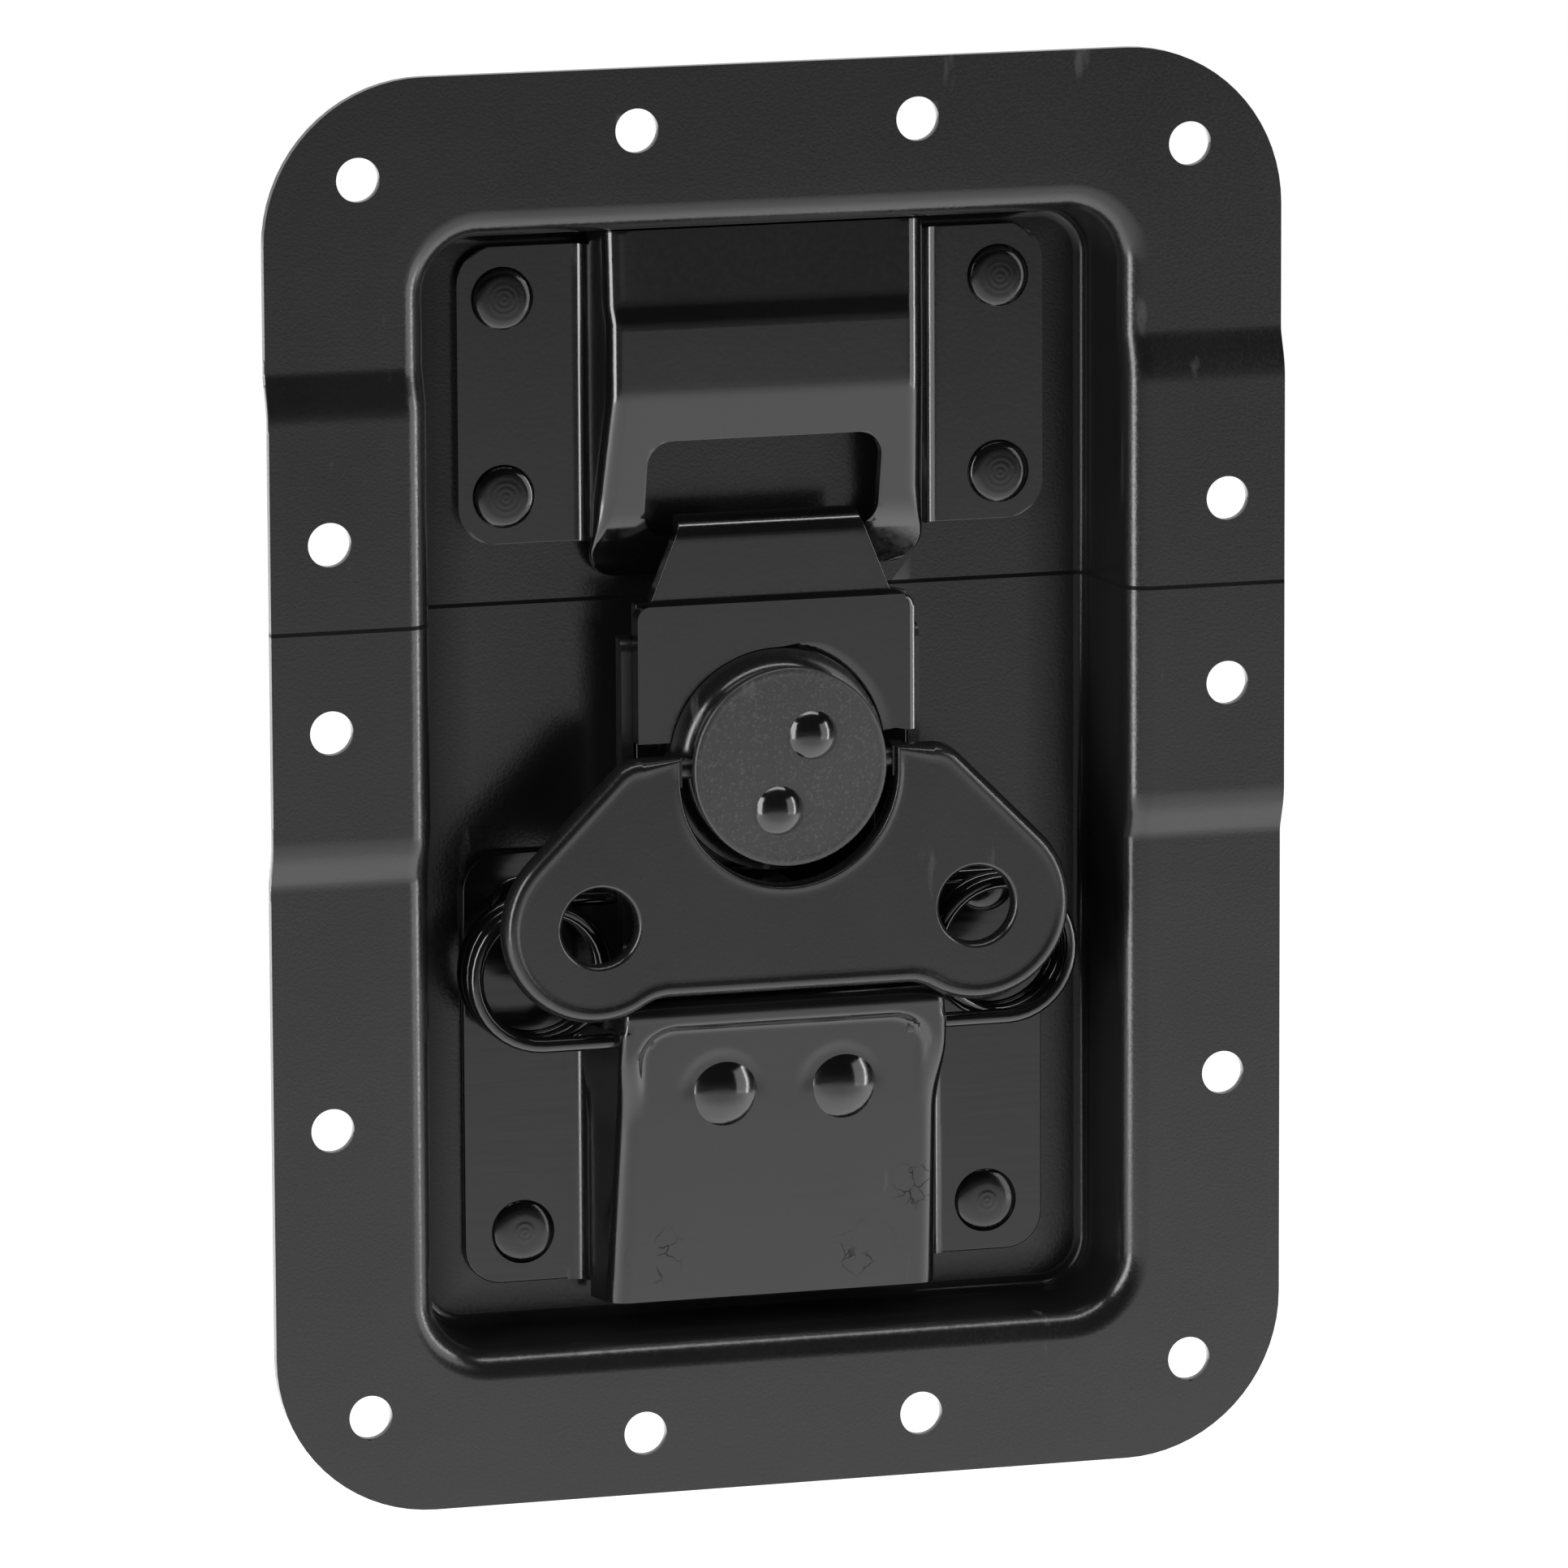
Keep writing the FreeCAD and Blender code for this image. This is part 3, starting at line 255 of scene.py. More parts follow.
def joinPieces(name, pieces):
    work = bmesh.new()
    for piece in pieces:
        work.from_mesh(piece.data)
    mesh = bpy.data.meshes.new(name)
    work.to_mesh(mesh)
    work.free()
    for piece in pieces:
        bpy.data.objects.remove(piece)
    return makePiece(name, mesh)


def dress(piece, look, body, node, angle=32):  # shading, coat, body and replaced node
    smoothFaces(piece, angle)
    piece.data.materials.clear()
    piece.data.materials.append(coats[look])
    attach(piece, body)
    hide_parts(node)


# shader nodes: a value is a number, or another node's output

def feedNode(tree, node, values):
    for socket, value in zip(node.inputs, values):
        if isinstance(value, bpy.types.NodeSocket):
            tree.links.new(value, socket)
        else:
            socket.default_value = value


def fillNode(node, values):
    for socket, value in values.items():
        node.inputs[socket].default_value = value


def mathNode(tree, operation, *values):
    node = tree.nodes.new("ShaderNodeMath")
    node.operation = operation
    feedNode(tree, node, values)
    return node.outputs[0]


def vectorNode(tree, operation, *values):
    node = tree.nodes.new("ShaderNodeVectorMath")
    node.operation = operation
    feedNode(tree, node, values)
    return node.outputs["Value" if operation == "DISTANCE" else "Vector"]


def rampNode(tree, value, low, high, outLow, outHigh):
    ramp = tree.nodes.new("ShaderNodeMapRange")
    fillNode(ramp, {"From Min": low, "From Max": high, "To Min": outLow, "To Max": outHigh})
    tree.links.new(value, ramp.inputs["Value"])
    return ramp.outputs["Result"]


def splitNode(tree, vector):
    split = tree.nodes.new("ShaderNodeSeparateXYZ")
    tree.links.new(vector, split.inputs[0])
    return split.outputs


def blendNode(tree, factor, first, second):
    node = tree.nodes.new("ShaderNodeMix")
    node.data_type = "RGBA"
    tree.links.new(factor, node.inputs["Factor"])
    for socket, colour in ((node.inputs[6], first), (node.inputs[7], second)):
        if isinstance(colour, tuple):
            socket.default_value = (*colour, 1)
        else:
            tree.links.new(colour, socket)
    return node.outputs[2]


def noiseNode(tree, place, scale, detail, stretch=None):
    texture = tree.nodes.new("ShaderNodeTexNoise")
    fillNode(texture, {"Scale": scale, "Detail": detail})
    if stretch:
        mapping = tree.nodes.new("ShaderNodeMapping")
        mapping.inputs["Scale"].default_value = stretch
        tree.links.new(place, mapping.inputs["Vector"])
        place = mapping.outputs["Vector"]
    tree.links.new(place, texture.inputs["Vector"])
    return texture


def bumpNode(tree, height, strength, distance):
    bump = tree.nodes.new("ShaderNodeBump")
    fillNode(bump, {"Strength": strength, "Distance": distance})
    tree.links.new(height, bump.inputs["Height"])
    return bump


# coatings: every black coat has grain, clouds, scuffs and a slow wave; some have marks, and the dish has
# painted shade as lost gloss

usual = dict(grainStretch=None, cloudScale=60, scuffScale=260, scuffStretch=(1, 1, 0.25), scuffFrom=0.66,
             scuffStep=0.08, scuffShow=0.5, scuffColour=(0.10, 0.10, 0.10), scuffRough=0.18, speckle=0,
             speckColour=(0.16, 0.16, 0.165), bumpDepth=0.00004, wave=0.15, waveScale=45, waveDepth=0.0004,
             shine=0.5, marks=None, jointShade=None)
# cracks in the coat are wear; the gloss left in the joint is painted shade
wearAndShade = dict(crackScale=420, crackWide=0.05, wobbleScale=500, wobbleDetail=2, wobble=0.002, patchCore=0.4,
            brokenFrom=0.43, brokenTo=0.52, fullGloss=0.5, crackGloss=0.05, jointShadeGloss=0.03)


def crackedPlaces(tree, place, scuff, marks):  # cracked coat round a few places, as (x, z, reach) in mm
    w = wearAndShade
    wobble = noiseNode(tree, place, w["wobbleScale"], w["wobbleDetail"]).outputs["Color"]
    cracks = tree.nodes.new("ShaderNodeTexVoronoi")
    cracks.feature = "DISTANCE_TO_EDGE"
    cracks.inputs["Scale"].default_value = w["crackScale"]
    shaken = vectorNode(tree, "MULTIPLY_ADD", wobble, [w["wobble"]] * 3, place)
    tree.links.new(shaken, cracks.inputs["Vector"])
    line = rampNode(tree, cracks.outputs["Distance"], 0, w["crackWide"], 1, 0)
    flat = vectorNode(tree, "MULTIPLY", place, (1, 0, 1))
    near = 0
    for x, z, reach in marks:
        away = vectorNode(tree, "DISTANCE", flat, (x * mm, 0, z * mm))
        patch = rampNode(tree, away, reach * mm * w["patchCore"], reach * mm, 1, 0)
        near = mathNode(tree, "MAXIMUM", near, patch)
    broken = rampNode(tree, scuff, w["brokenFrom"], w["brokenTo"], 0, 1)
    cracked = mathNode(tree, "MULTIPLY", mathNode(tree, "MULTIPLY", line, near), broken)
    return rampNode(tree, cracked, 0, 1, w["fullGloss"], w["crackGloss"])


def paintedShadePlaces(tree, place, look):  # painted shade: less gloss along the joint at one height and round the foot of the recess, where shade falls
    split = splitNode(tree, place)
    gloss = rampNode(tree, mathNode(tree, "COMPARE", split["Z"], *look["jointShade"]), 0, 1, wearAndShade["fullGloss"],
                     wearAndShade["jointShadeGloss"])
    # painted shade round the recess's foot: the gloss falls to the kept share there
    acrossRange, uprightRange, middle, deepRange, kept = look["hollow"]
    height = mathNode(tree, "SUBTRACT", split["Z"], middle * mm)
    sides = [rampNode(tree, mathNode(tree, "ABSOLUTE", value), low * mm, high * mm, 0, 1)
             for value, (low, high) in ((split["X"], acrossRange), (height, uprightRange))]
    deep = rampNode(tree, split["Y"], deepRange[0] * mm, deepRange[1] * mm, 0, 1)
    foot = mathNode(tree, "MULTIPLY", mathNode(tree, "MAXIMUM", *sides), deep)
    return mathNode(tree, "MULTIPLY", gloss, rampNode(tree, foot, 0, 1, 1, kept))


def coating(name, look):
    look = {**usual, **look}
    material = bpy.data.materials.new(name)
    material.use_nodes = True
    tree = material.node_tree
    shader = tree.nodes["Principled BSDF"]
    place = tree.nodes.new("ShaderNodeTexCoord").outputs["Object"]
    grain = noiseNode(tree, place, look["grainScale"], 2, look["grainStretch"]).outputs["Fac"]
    cloud = noiseNode(tree, place, look["cloudScale"], 4).outputs["Fac"]
    scuff = noiseNode(tree, place, look["scuffScale"], 6, look["scuffStretch"]).outputs["Fac"]
    wave = noiseNode(tree, place, look["waveScale"], 1).outputs["Fac"]
    colour = blendNode(tree, rampNode(tree, cloud, 0.35, 0.65, 0, 1), look["dark"], look["light"])
    start = look["scuffFrom"]
    worn = rampNode(tree, scuff, start, start + look["scuffStep"], 0, look["scuffShow"])
    colour = blendNode(tree, worn, colour, look["scuffColour"])
    if look["speckle"]:
        specks = rampNode(tree, grain, 0.56, 0.66, 0, look["speckle"])
        colour = blendNode(tree, specks, colour, look["speckColour"])
    rough, spread = look["rough"], look["roughSpread"]
    rough = rampNode(tree, grain, 0.3, 0.7, rough - spread, rough + spread)
    fine = bumpNode(tree, grain, look["bump"], look["bumpDepth"])
    wide = bumpNode(tree, wave, look["wave"], look["waveDepth"])
    tree.links.new(fine.outputs["Normal"], wide.inputs["Normal"])
    tree.links.new(colour, shader.inputs["Base Color"])
    rough = mathNode(tree, "MULTIPLY_ADD", worn, look["scuffRough"], rough)
    tree.links.new(rough, shader.inputs["Roughness"])
    tree.links.new(wide.outputs["Normal"], shader.inputs["Normal"])
    gloss = shader.inputs["Specular IOR Level"]
    gloss.default_value = look["shine"]
    if look["marks"]:
        tree.links.new(crackedPlaces(tree, place, scuff, look["marks"]), gloss)
    if look["jointShade"]:
        tree.links.new(paintedShadePlaces(tree, place, look), gloss)
    return material


looks = {
    "dishSatin": dict(
        dark=(0.006, 0.006, 0.0063), light=(0.0084, 0.0084, 0.0087), grainScale=2600,
        rough=0.22, roughSpread=0.04, bump=0.26, bumpDepth=0.00005, cloudScale=40,
        # painted shade: the joint line and the recess's foot lose gloss
        scuffFrom=0.7, scuffShow=0.35, wave=0.08, jointShade=(0.021, 0.00025),
        hollow=((34.5, 41.5), (60, 66), -0.45, (3, 9), 0.32)),
    "glossBlack": dict(
        dark=(0.003, 0.003, 0.0032), light=(0.0045, 0.0045, 0.0047), grainScale=1500,
        rough=0.13, roughSpread=0.03, shine=0.62, bump=0.1, cloudScale=50, scuffFrom=0.72,
        scuffShow=0.4, wave=0.06),
    "brushedBlack": dict(
        dark=(0.0042, 0.0042, 0.0045), light=(0.006, 0.006, 0.0063), grainScale=900,
        grainStretch=(0.12, 1, 1.6), rough=0.16, roughSpread=0.04, bump=0.16,
        scuffFrom=0.7, scuffShow=0.4, wave=0.06,
        marks=[(-15.0, -58.0, 4.2), (11.5, -58.6, 4.6), (17.5, -51.0, 3.5)]),
    "rivetBlack": dict(
        dark=(0.0033, 0.0033, 0.0036), light=(0.005, 0.005, 0.0052), grainScale=2200,
        rough=0.13, roughSpread=0.03, bump=0.12, wave=0.03),
    "innerBlack": dict(
        dark=(0.0042, 0.0042, 0.0045), light=(0.006, 0.006, 0.0063), grainScale=1800,
        rough=0.36, roughSpread=0.05, bump=0.2),
    "springGloss": dict(
        dark=(0.003, 0.003, 0.0033), light=(0.0048, 0.0048, 0.0051), grainScale=1800,
        rough=0.1, roughSpread=0.03, bump=0.08, wave=0.02),
    "drumBlack": dict(
        dark=(0.0056, 0.0056, 0.006), light=(0.0084, 0.0084, 0.0087), grainScale=1900,
        rough=0.2, roughSpread=0.04, bump=0.15),
    "capSatin": dict(
        dark=(0.016, 0.016, 0.0165), light=(0.022, 0.022, 0.0225), grainScale=3000,
        rough=0.4, roughSpread=0.06, bump=0.35, speckle=0.12),
    "handleBlack": dict(
        dark=(0.006, 0.006, 0.0065), light=(0.009, 0.009, 0.0095), grainScale=2400,
        rough=0.24, roughSpread=0.04, shine=0.44, bump=0.2, scuffFrom=0.7,
        scuffShow=0.35),
}
coats = {name: coating(name, look) for name, look in looks.items()}
print("coatings ready")


# pressed dish: the whole bowl is lofted from rings of points, then cut at the split

dish = dict(halfX=63.0, halfZ=86.25, corner=19.5, sheet=1.2, step=1.5, split=21.0, gap=0.01,
            rampStart=26.4, rampEnd=30.4, rampBend=1.5, rampCrease=0.4, recessX=43.3, recessZ=67.45,
            middle=-0.45, recessCorner=7.0, floorY=11.6, draft=5.0, rim=3.5, foot=1.5, hole=2.65,
            edge=0.17, coarse=8, fine=0.4, cornerHole=(51.45, 74.4), endHole=(17.35, 78.8),
            sideHoleX=55.75, sideHoleZ=(31.5, 9.0, -39.2))


def flangeY(z):
    d = dish
    away = abs(z - d["split"])
    slope = d["step"] / (d["rampEnd"] - d["rampStart"])
    risen = (slopeBreak(away, d["rampStart"], 0, slope, d["rampBend"])
             - slopeBreak(away, d["rampEnd"], 0, slope, d["rampCrease"]))
    return -d["sheet"] - d["step"] + risen


def dishLoop(halfX, halfZ, radius, middle):  # one closed outline, always with the same points
    d = dish
    across = [-30, -20, -10, 0, 10, 20, 30]
    low, high = d["split"] - d["rampEnd"], d["split"] + d["rampStart"]
    upright = evenSteps(-52, low - 3, d["coarse"]) + evenSteps(low - 2, low + 7.4, d["fine"])
    upright += evenSteps(low + 10, high - 4, d["coarse"]) + evenSteps(high - 2.4, high + 6.2, d["fine"])
    sx, sz = halfX - radius, halfZ - radius
    loop = [(halfX, middle - sz)] + [(halfX, z) for z in upright] + [(halfX, middle + sz)]
    loop += arcPoints(sx, middle + sz, radius, 0, 90, 18)[1:]
    loop += [(x, middle + halfZ) for x in reversed(across)]
    loop += arcPoints(-sx, middle + sz, radius, 90, 180, 18)
    loop += [(-halfX, z) for z in reversed(upright)]
    loop += arcPoints(-sx, middle - sz, radius, 180, 270, 18)
    loop += [(x, middle - halfZ) for x in across]
    loop += arcPoints(sx, middle - sz, radius, 270, 360, 18)[:-1]
    return loop


def dishRings():  # flange, rounded rim, foot of the wall, floor
    d = dish
    lean = radians(90 - d["draft"])
    reach = d["rim"] * tan(lean / 2)
    startX, startZ = d["recessX"] + reach, d["recessZ"] + reach
    startR = d["recessCorner"] + reach
    outer = dishLoop(d["halfX"], d["halfZ"], d["corner"], 0)
    start = dishLoop(startX, startZ, startR, d["middle"])
    rings = []
    for t in (k / 6 for k in range(6)):
        loop = [(a[0] + (b[0] - a[0]) * t, a[1] + (b[1] - a[1]) * t) for a, b in zip(outer, start)]
        rings.append([(x, flangeY(z), z) for x, z in loop])
    turns = 12
    for k in range(turns + 1):
        a = lean * k / turns
        inset = d["rim"] * sin(a)
        loop = dishLoop(startX - inset, startZ - inset, startR - inset, d["middle"])
        drop = d["rim"] * (1 - cos(a))
        rings.append([(x, flangeY(start[i][1]) + drop, z) for i, (x, z) in enumerate(loop)])
    deep = d["floorY"] - d["foot"] * (1 - cos(lean)) + d["sheet"]
    wallDrop = deep - d["rim"] * (1 - cos(lean))
    wallInset = d["rim"] * sin(lean) + wallDrop * tan(radians(d["draft"]))
    turns = 8
    for k in range(turns + 1):
        a = lean * (1 - k / turns)
        inset = wallInset + d["foot"] * (sin(lean) - sin(a))
        loop = dishLoop(startX - inset, startZ - inset, startR - inset, d["middle"])
        y = d["floorY"] - d["foot"] * (1 - cos(a))
        rings.append([(x, y, z) for x, z in loop])
    last = rings[-1]
    for t in (0.25, 0.5, 0.75, 0.96):
        rings.append([(x * (1 - t), d["floorY"], d["middle"] + (z - d["middle"]) * (1 - t))
                      for x, y, z in last])
    return rings


def fixingHoles():
    found = []
    for side in (-1, 1):
        for tall in (-1, 1):
            found += [(side * x, tall * z) for x, z in (dish["cornerHole"], dish["endHole"])]
        found += [(side * dish["sideHoleX"], z) for z in dish["sideHoleZ"]]
    return found


def buildDish(node, upper):
    piece = loftPiece(node + "Look", dishRings(), True, False, True)
    edge = dish["split"] + (dish["gap"] / 2 if upper else -dish["gap"] / 2)

    def halve(work):
        bmesh.ops.remove_doubles(work, verts=work.verts, dist=0.0005 * mm)
        bmesh.ops.bisect_plane(work, geom=work.verts[:] + work.edges[:] + work.faces[:], dist=1e-7,
                               plane_co=(0, 0, edge * mm), plane_no=(0, 0, 1),
                               clear_inner=upper, clear_outer=not upper)
        faceFront(work)
    editMesh(piece, halve)
    thicken(piece, dish["sheet"])
    spots = [spot for spot in fixingHoles() if (spot[1] > dish["split"]) == upper]
    cutWith(piece, [rods("dishHoles", spots, dish["hole"], -6, 4)])
    softenEdges(piece, dish["edge"], 40)
    dress(piece, "dishSatin", "root", node, 35)


buildDish("upper_dish", True)
buildDish("lower_dish", False)
print("dish pressed")


# keeper: flanges and hood bent from one sheet

keeper = dict(sheet=1.5, halfSpan=36.5, low=28.4, high=64.2, corner=4.5, faceY=3.0, faceHalf=19.2,
              draft=16.0, topZ=66.2, topSlope=0.36, topBand=1.7, crownSlope=0.035, bendHigh=55.2,
              bendLow=46.3, lowSlope=0.222, crease=(0.3, 0.7, 0.4), curlZ=30.2, curlSlope=0.36,
              curlBend=1.8, footZ=23.8, footFlare=0.35, topFlare=0.6, bend=2.6, fold=2.6, flangeY=10.1,
              footCorner=4.2, slotX=14.6, slotLow=28.8, slotHigh=40.7, slotCorner=3.0, edge=0.25)


def hoodFaceY(z):  # steep band over the upper crease, flat crown, sloping lower face, curled foot
    k = keeper
    high, crown, low = k["crease"]
    y = k["faceY"] + slopeBreak(z, k["bendHigh"], 0, k["topSlope"], high)
    y -= slopeBreak(z, k["bendHigh"] + k["topBand"], 0, k["topSlope"] - k["crownSlope"], crown)
    y += slopeBreak(z, k["bendLow"], -k["lowSlope"], 0, low)
    return y + slopeBreak(z, k["curlZ"], -k["curlSlope"], 0, k["curlBend"])


def hatSection(faceY, half, wallY, draft, bend, footY, flat, steps=9):  # half section: face, bend, wall
    lean = radians(draft)
    cornerX = half + (faceY - wallY) * tan(lean)
    room = max(0.05, footY - faceY) / cos(lean) * 0.8
    turn = pi / 2 - lean
    radius = min(bend, room / tan(turn / 2))
    reach = radius * tan(turn / 2)
    section = [((cornerX - reach) * i / flat, faceY) for i in range(flat)]
    for k in range(steps + 1):
        a = turn * k / steps
        section.append((cornerX - reach + radius * sin(a), faceY + radius * (1 - cos(a))))
    x, y = section[-1]
    for t in (0.25, 0.5, 0.75, 1.0):
        depth = y + (footY - y) * t
        section.append((x + (depth - y) * tan(lean), depth))
    return section


def foldPlace(half, wallY, draft, flangeY, radius):  # centre of the inside fold and the wall's foot
    lean = radians(draft)
    footY = flangeY - radius + radius * sin(lean)
    footX = half + (footY - wallY) * tan(lean)
    return footX + radius * cos(lean), footY


def bentSheet(name, rows, flangeRows, foldX, radius, draft, flangeY, outerX):
    points, faces, grid = [], [], []
    for section, z in rows:
        full = [(-x, y) for x, y in reversed(section)] + section[1:]
        grid.append([len(points) + i for i in range(len(full))])
        points += [(x, y, z) for x, y in full]
    for lower, upper in zip(grid, grid[1:]):
        for i in range(len(lower) - 1):
            faces.append((lower[i], lower[i + 1], upper[i + 1], upper[i]))
    for side in (-1, 1):
        strips = []
        for index, z in flangeRows:
            line = []
            for k in range(1, 8):
                a = radians(draft + (90 - draft) * k / 7)
                line.append((foldX - radius * cos(a), flangeY - radius + radius * sin(a)))
            far = outerX(z)
            line += [(foldX + (far - foldX) * t, flangeY) for t in (0.1, 0.4, 0.7, 0.95, 1.0)]
            first = grid[index][-1] if side > 0 else grid[index][0]
            strips.append([first] + [len(points) + i for i in range(len(line))])
            points += [(side * x, y, z) for x, y in line]
        for lower, upper in zip(strips, strips[1:]):
            for i in range(len(lower) - 1):
                quad = (lower[i], lower[i + 1], upper[i + 1], upper[i])
                faces.append(quad if side > 0 else tuple(reversed(quad)))
    piece = makePiece(name, meshFrom(name, points, faces))
    editMesh(piece, faceFront)
    return piece


def cornerX(z, low, high, half, radius):  # outer edge of a flange with rounded corners
    into = min(z - low, high - z)
    if into >= radius:
        return half
    return half - radius + sqrt(max(0, radius ** 2 - (radius - into) ** 2))


def cornerRows(low, high, radius, step):
    fine = [radius * (1 - cos(radians(a))) for a in (0, 12, 24, 38, 52, 66, 80, 90)]
    return ([low + f for f in fine] + evenSteps(low + radius, high - radius, step)[1:-1]
            + [high - f for f in reversed(fine)])


def buildKeeper():
    k = keeper
    flangeZ = cornerRows(k["low"], k["high"], k["corner"], 0.8)
    below = [k["footZ"] + k["footCorner"] * (1 - cos(radians(a))) for a in range(0, 90, 9)]
    below = [z for z in below if z < k["low"] - 0.15]
    stations = below + flangeZ + [64.7, 65.2, 65.7, k["topZ"]]
    foldX, wallFoot = foldPlace(k["faceHalf"], k["faceY"], k["draft"], k["flangeY"], k["fold"])
    rows = []
    for z in stations:
        faceY = hoodFaceY(z)
        foot = wallFoot
        if z < k["low"]:
            foot = max(wallFoot + k["footFlare"] * (k["low"] - z), faceY + 0.4)
        if z > k["high"]:
            foot = wallFoot + (z - k["high"]) * k["topFlare"]
        section = hatSection(faceY, k["faceHalf"], k["faceY"], k["draft"], k["bend"], foot, 12)
        into = z - k["footZ"]
        if into < k["footCorner"]:
            edge = k["footCorner"]
            shrink = edge - sqrt(edge ** 2 - (edge - into) ** 2)
            wide = section[-1][0]
            section = [(x - shrink * (x / wide) ** 3, y) for x, y in section]
        rows.append((section, z))
    flangeRows = [(len(below) + i, z) for i, z in enumerate(flangeZ)]
    piece = bentSheet("keeperLook", rows, flangeRows, foldX, k["fold"], k["draft"], k["flangeY"],
                      lambda z: cornerX(z, k["low"], k["high"], k["halfSpan"], k["corner"]))
    thicken(piece, k["sheet"])
    x, low, high, r = k["slotX"], k["slotLow"], k["slotHigh"], k["slotCorner"]
    outline = roundCorners([(-x, low, r), (x, low, r), (x, high, r), (-x, high, r)])
    cutWith(piece, [prism("slotTool", outline, -2, 11)])
    softenEdges(piece, k["edge"], 40)
    dress(piece, "glossBlack", "root", "keeper")


buildKeeper()
print("keeper bent")


# latch housing: flanges and a cover with a bead raised over the wire

cover = dict(sheet=1.2, halfSpan=36.4, low=-61.8, high=-9.0, corner=4.5, footZ=-63.7, footY=3.2,
             topY=-0.4, slope=-0.1272, creaseZ=-40.4, creaseSlope=0.03, creaseBend=0.8, bead=2.0,
             beadY=-0.35, beadZ=-27.9, lift=1.35, legX=16.7, legWide=1.2, legFade=9.5, pocketZ=-29.9,
             pocketCorner=3.4, flare=0.8, flareX=(12, 19), narrowZ=(-42, -33), faceHalf=19.55, shift=0.25,
             draft=12.0, bend=2.6, topBend=1.3, fold=2.3, flangeY=10.4, rivetX=7.45, rivetZ=-38.0,
             dimple=0.22, dimpleIn=4.2, dimpleOut=6.0, edge=0.2, overlap=1.5)


def coverPlane(z):
    c = cover
    return (c["footY"] + (z - c["footZ"]) * c["slope"]
            + slopeBreak(z, c["creaseZ"], 0, c["creaseSlope"], c["creaseBend"]))


def coverLine():  # the cover's front from its foot over the bead, as (y, z)
    c = cover
    stations = [c["footZ"]] + evenSteps(c["low"], -45, 1.5) + evenSteps(-45, c["pocketZ"], 0.4)[1:]
    line = [(coverPlane(z), z) for z in stations]
    y, z = line[-1]
    line += [(y - 0.1, z + 0.13), (y - 0.3, z + 0.24), (y - 0.6, z + 0.32)]
    line += [(c["beadY"] - c["bead"] * cos(radians(a)),
              c["beadZ"] + c["bead"] * sin(radians(a))) for a in evenSteps(-50, 90, 7)]
    return line


def coverFront(x, y, z):  # depth of the cover's skin: pocket, raised legs, dimples under the rivets
    c = cover
    if z > c["beadZ"]:
        return y
    corner = c["pocketCorner"]
    across = max(0, abs(x) - (c["legX"] - corner))
    up = max(0, z - (c["pocketZ"] - corner))
    outside = hypot(across, up) - corner
    fade = smoothStep(z, c["pocketZ"] - c["legFade"] - 1.5, c["pocketZ"] - 1.5)
    legs = coverPlane(z) - c["lift"] * fade * smoothStep(outside, -0.2, c["legWide"])
    away = hypot(abs(x) - c["rivetX"], z - c["rivetZ"])
    dimple = c["dimple"] * (1 - smoothStep(away, c["dimpleIn"], c["dimpleOut"]))
    dimple *= smoothStep(z, c["rivetZ"] - 1, c["rivetZ"] + 2)
    return min(y, legs) if z > c["pocketZ"] else legs + dimple


def buildHousing():
    c = cover
    profile = coverLine()
    foldX, wallFoot = foldPlace(c["faceHalf"], c["topY"], c["draft"], c["flangeY"], c["fold"])
    rows = []
    for y, z in profile:
        raised = smoothStep(z, *c["narrowZ"])
        bend = c["bend"] + (c["topBend"] - c["bend"]) * raised
        section = hatSection(y, c["faceHalf"], c["topY"], c["draft"], bend, wallFoot, 44)
        flare = c["flare"] * raised
        lifted = []
        for x, depth in section:
            share = (wallFoot - depth) / (wallFoot - y)
            shift = coverFront(x, y, z) - y
            lifted.append((x + flare * smoothStep(x, *c["flareX"]), depth + shift * share))
        rows.append((lifted, z))
    flangeRows = [(i, z) for i, (y, z) in enumerate(profile) if z >= c["low"] - 0.2]
    hood = bentSheet("coverLook", rows, flangeRows, foldX, c["fold"], c["draft"], c["flangeY"],
                     lambda z: foldX + 0.05)
    for point in hood.data.vertices:
        point.co.x += c["shift"] * mm * (1 - smoothStep(abs(point.co.x) / mm, 20, foldX))
    thicken(hood, c["sheet"])
    softenEdges(hood, c["edge"], 40)
    parts = [hood]
    for side in (-1, 1):
        near, far = foldX - c["overlap"], c["halfSpan"]
        shape = [(near, c["low"], 0), (far, c["low"], c["corner"]), (far, c["high"], c["corner"]),
                 (near, c["high"], 0)]
        outline = [(side * x, z) for x, z in roundCorners(shape)]
        plate = prism("plate", outline, c["flangeY"] + 0.004, c["flangeY"] + c["sheet"])
        softenEdges(plate, keeper["edge"], 40)
        parts.append(plate)
    piece = joinPieces("housingLook", parts)
    dress(piece, "brushedBlack", "root", "latch_housing")


buildHousing()
print("housing bent")


# handle: a dished wing each side with rolled edges

handle = dict(frontY=-4.7, sheet=1.2, depth=1.9, top=4.0, bottom=-25.2, lobeX=23.8, lobeZ=-16.1,
              lobe=11.6, shoulder=5.0, waist=6.0, notch=13.26, notchZ=1.2, roll=1.35, bead=0.14,
              notchRoll=0.5, fingerX=23.5, fingerZ=-16.0, finger=4.65, fingerRoll=0.9, ear=2.0,
              earInner=13.1, earOuter=14.6, pinY=-2.6, pinZ=2.3, pinHole=1.25, edge=0.12)


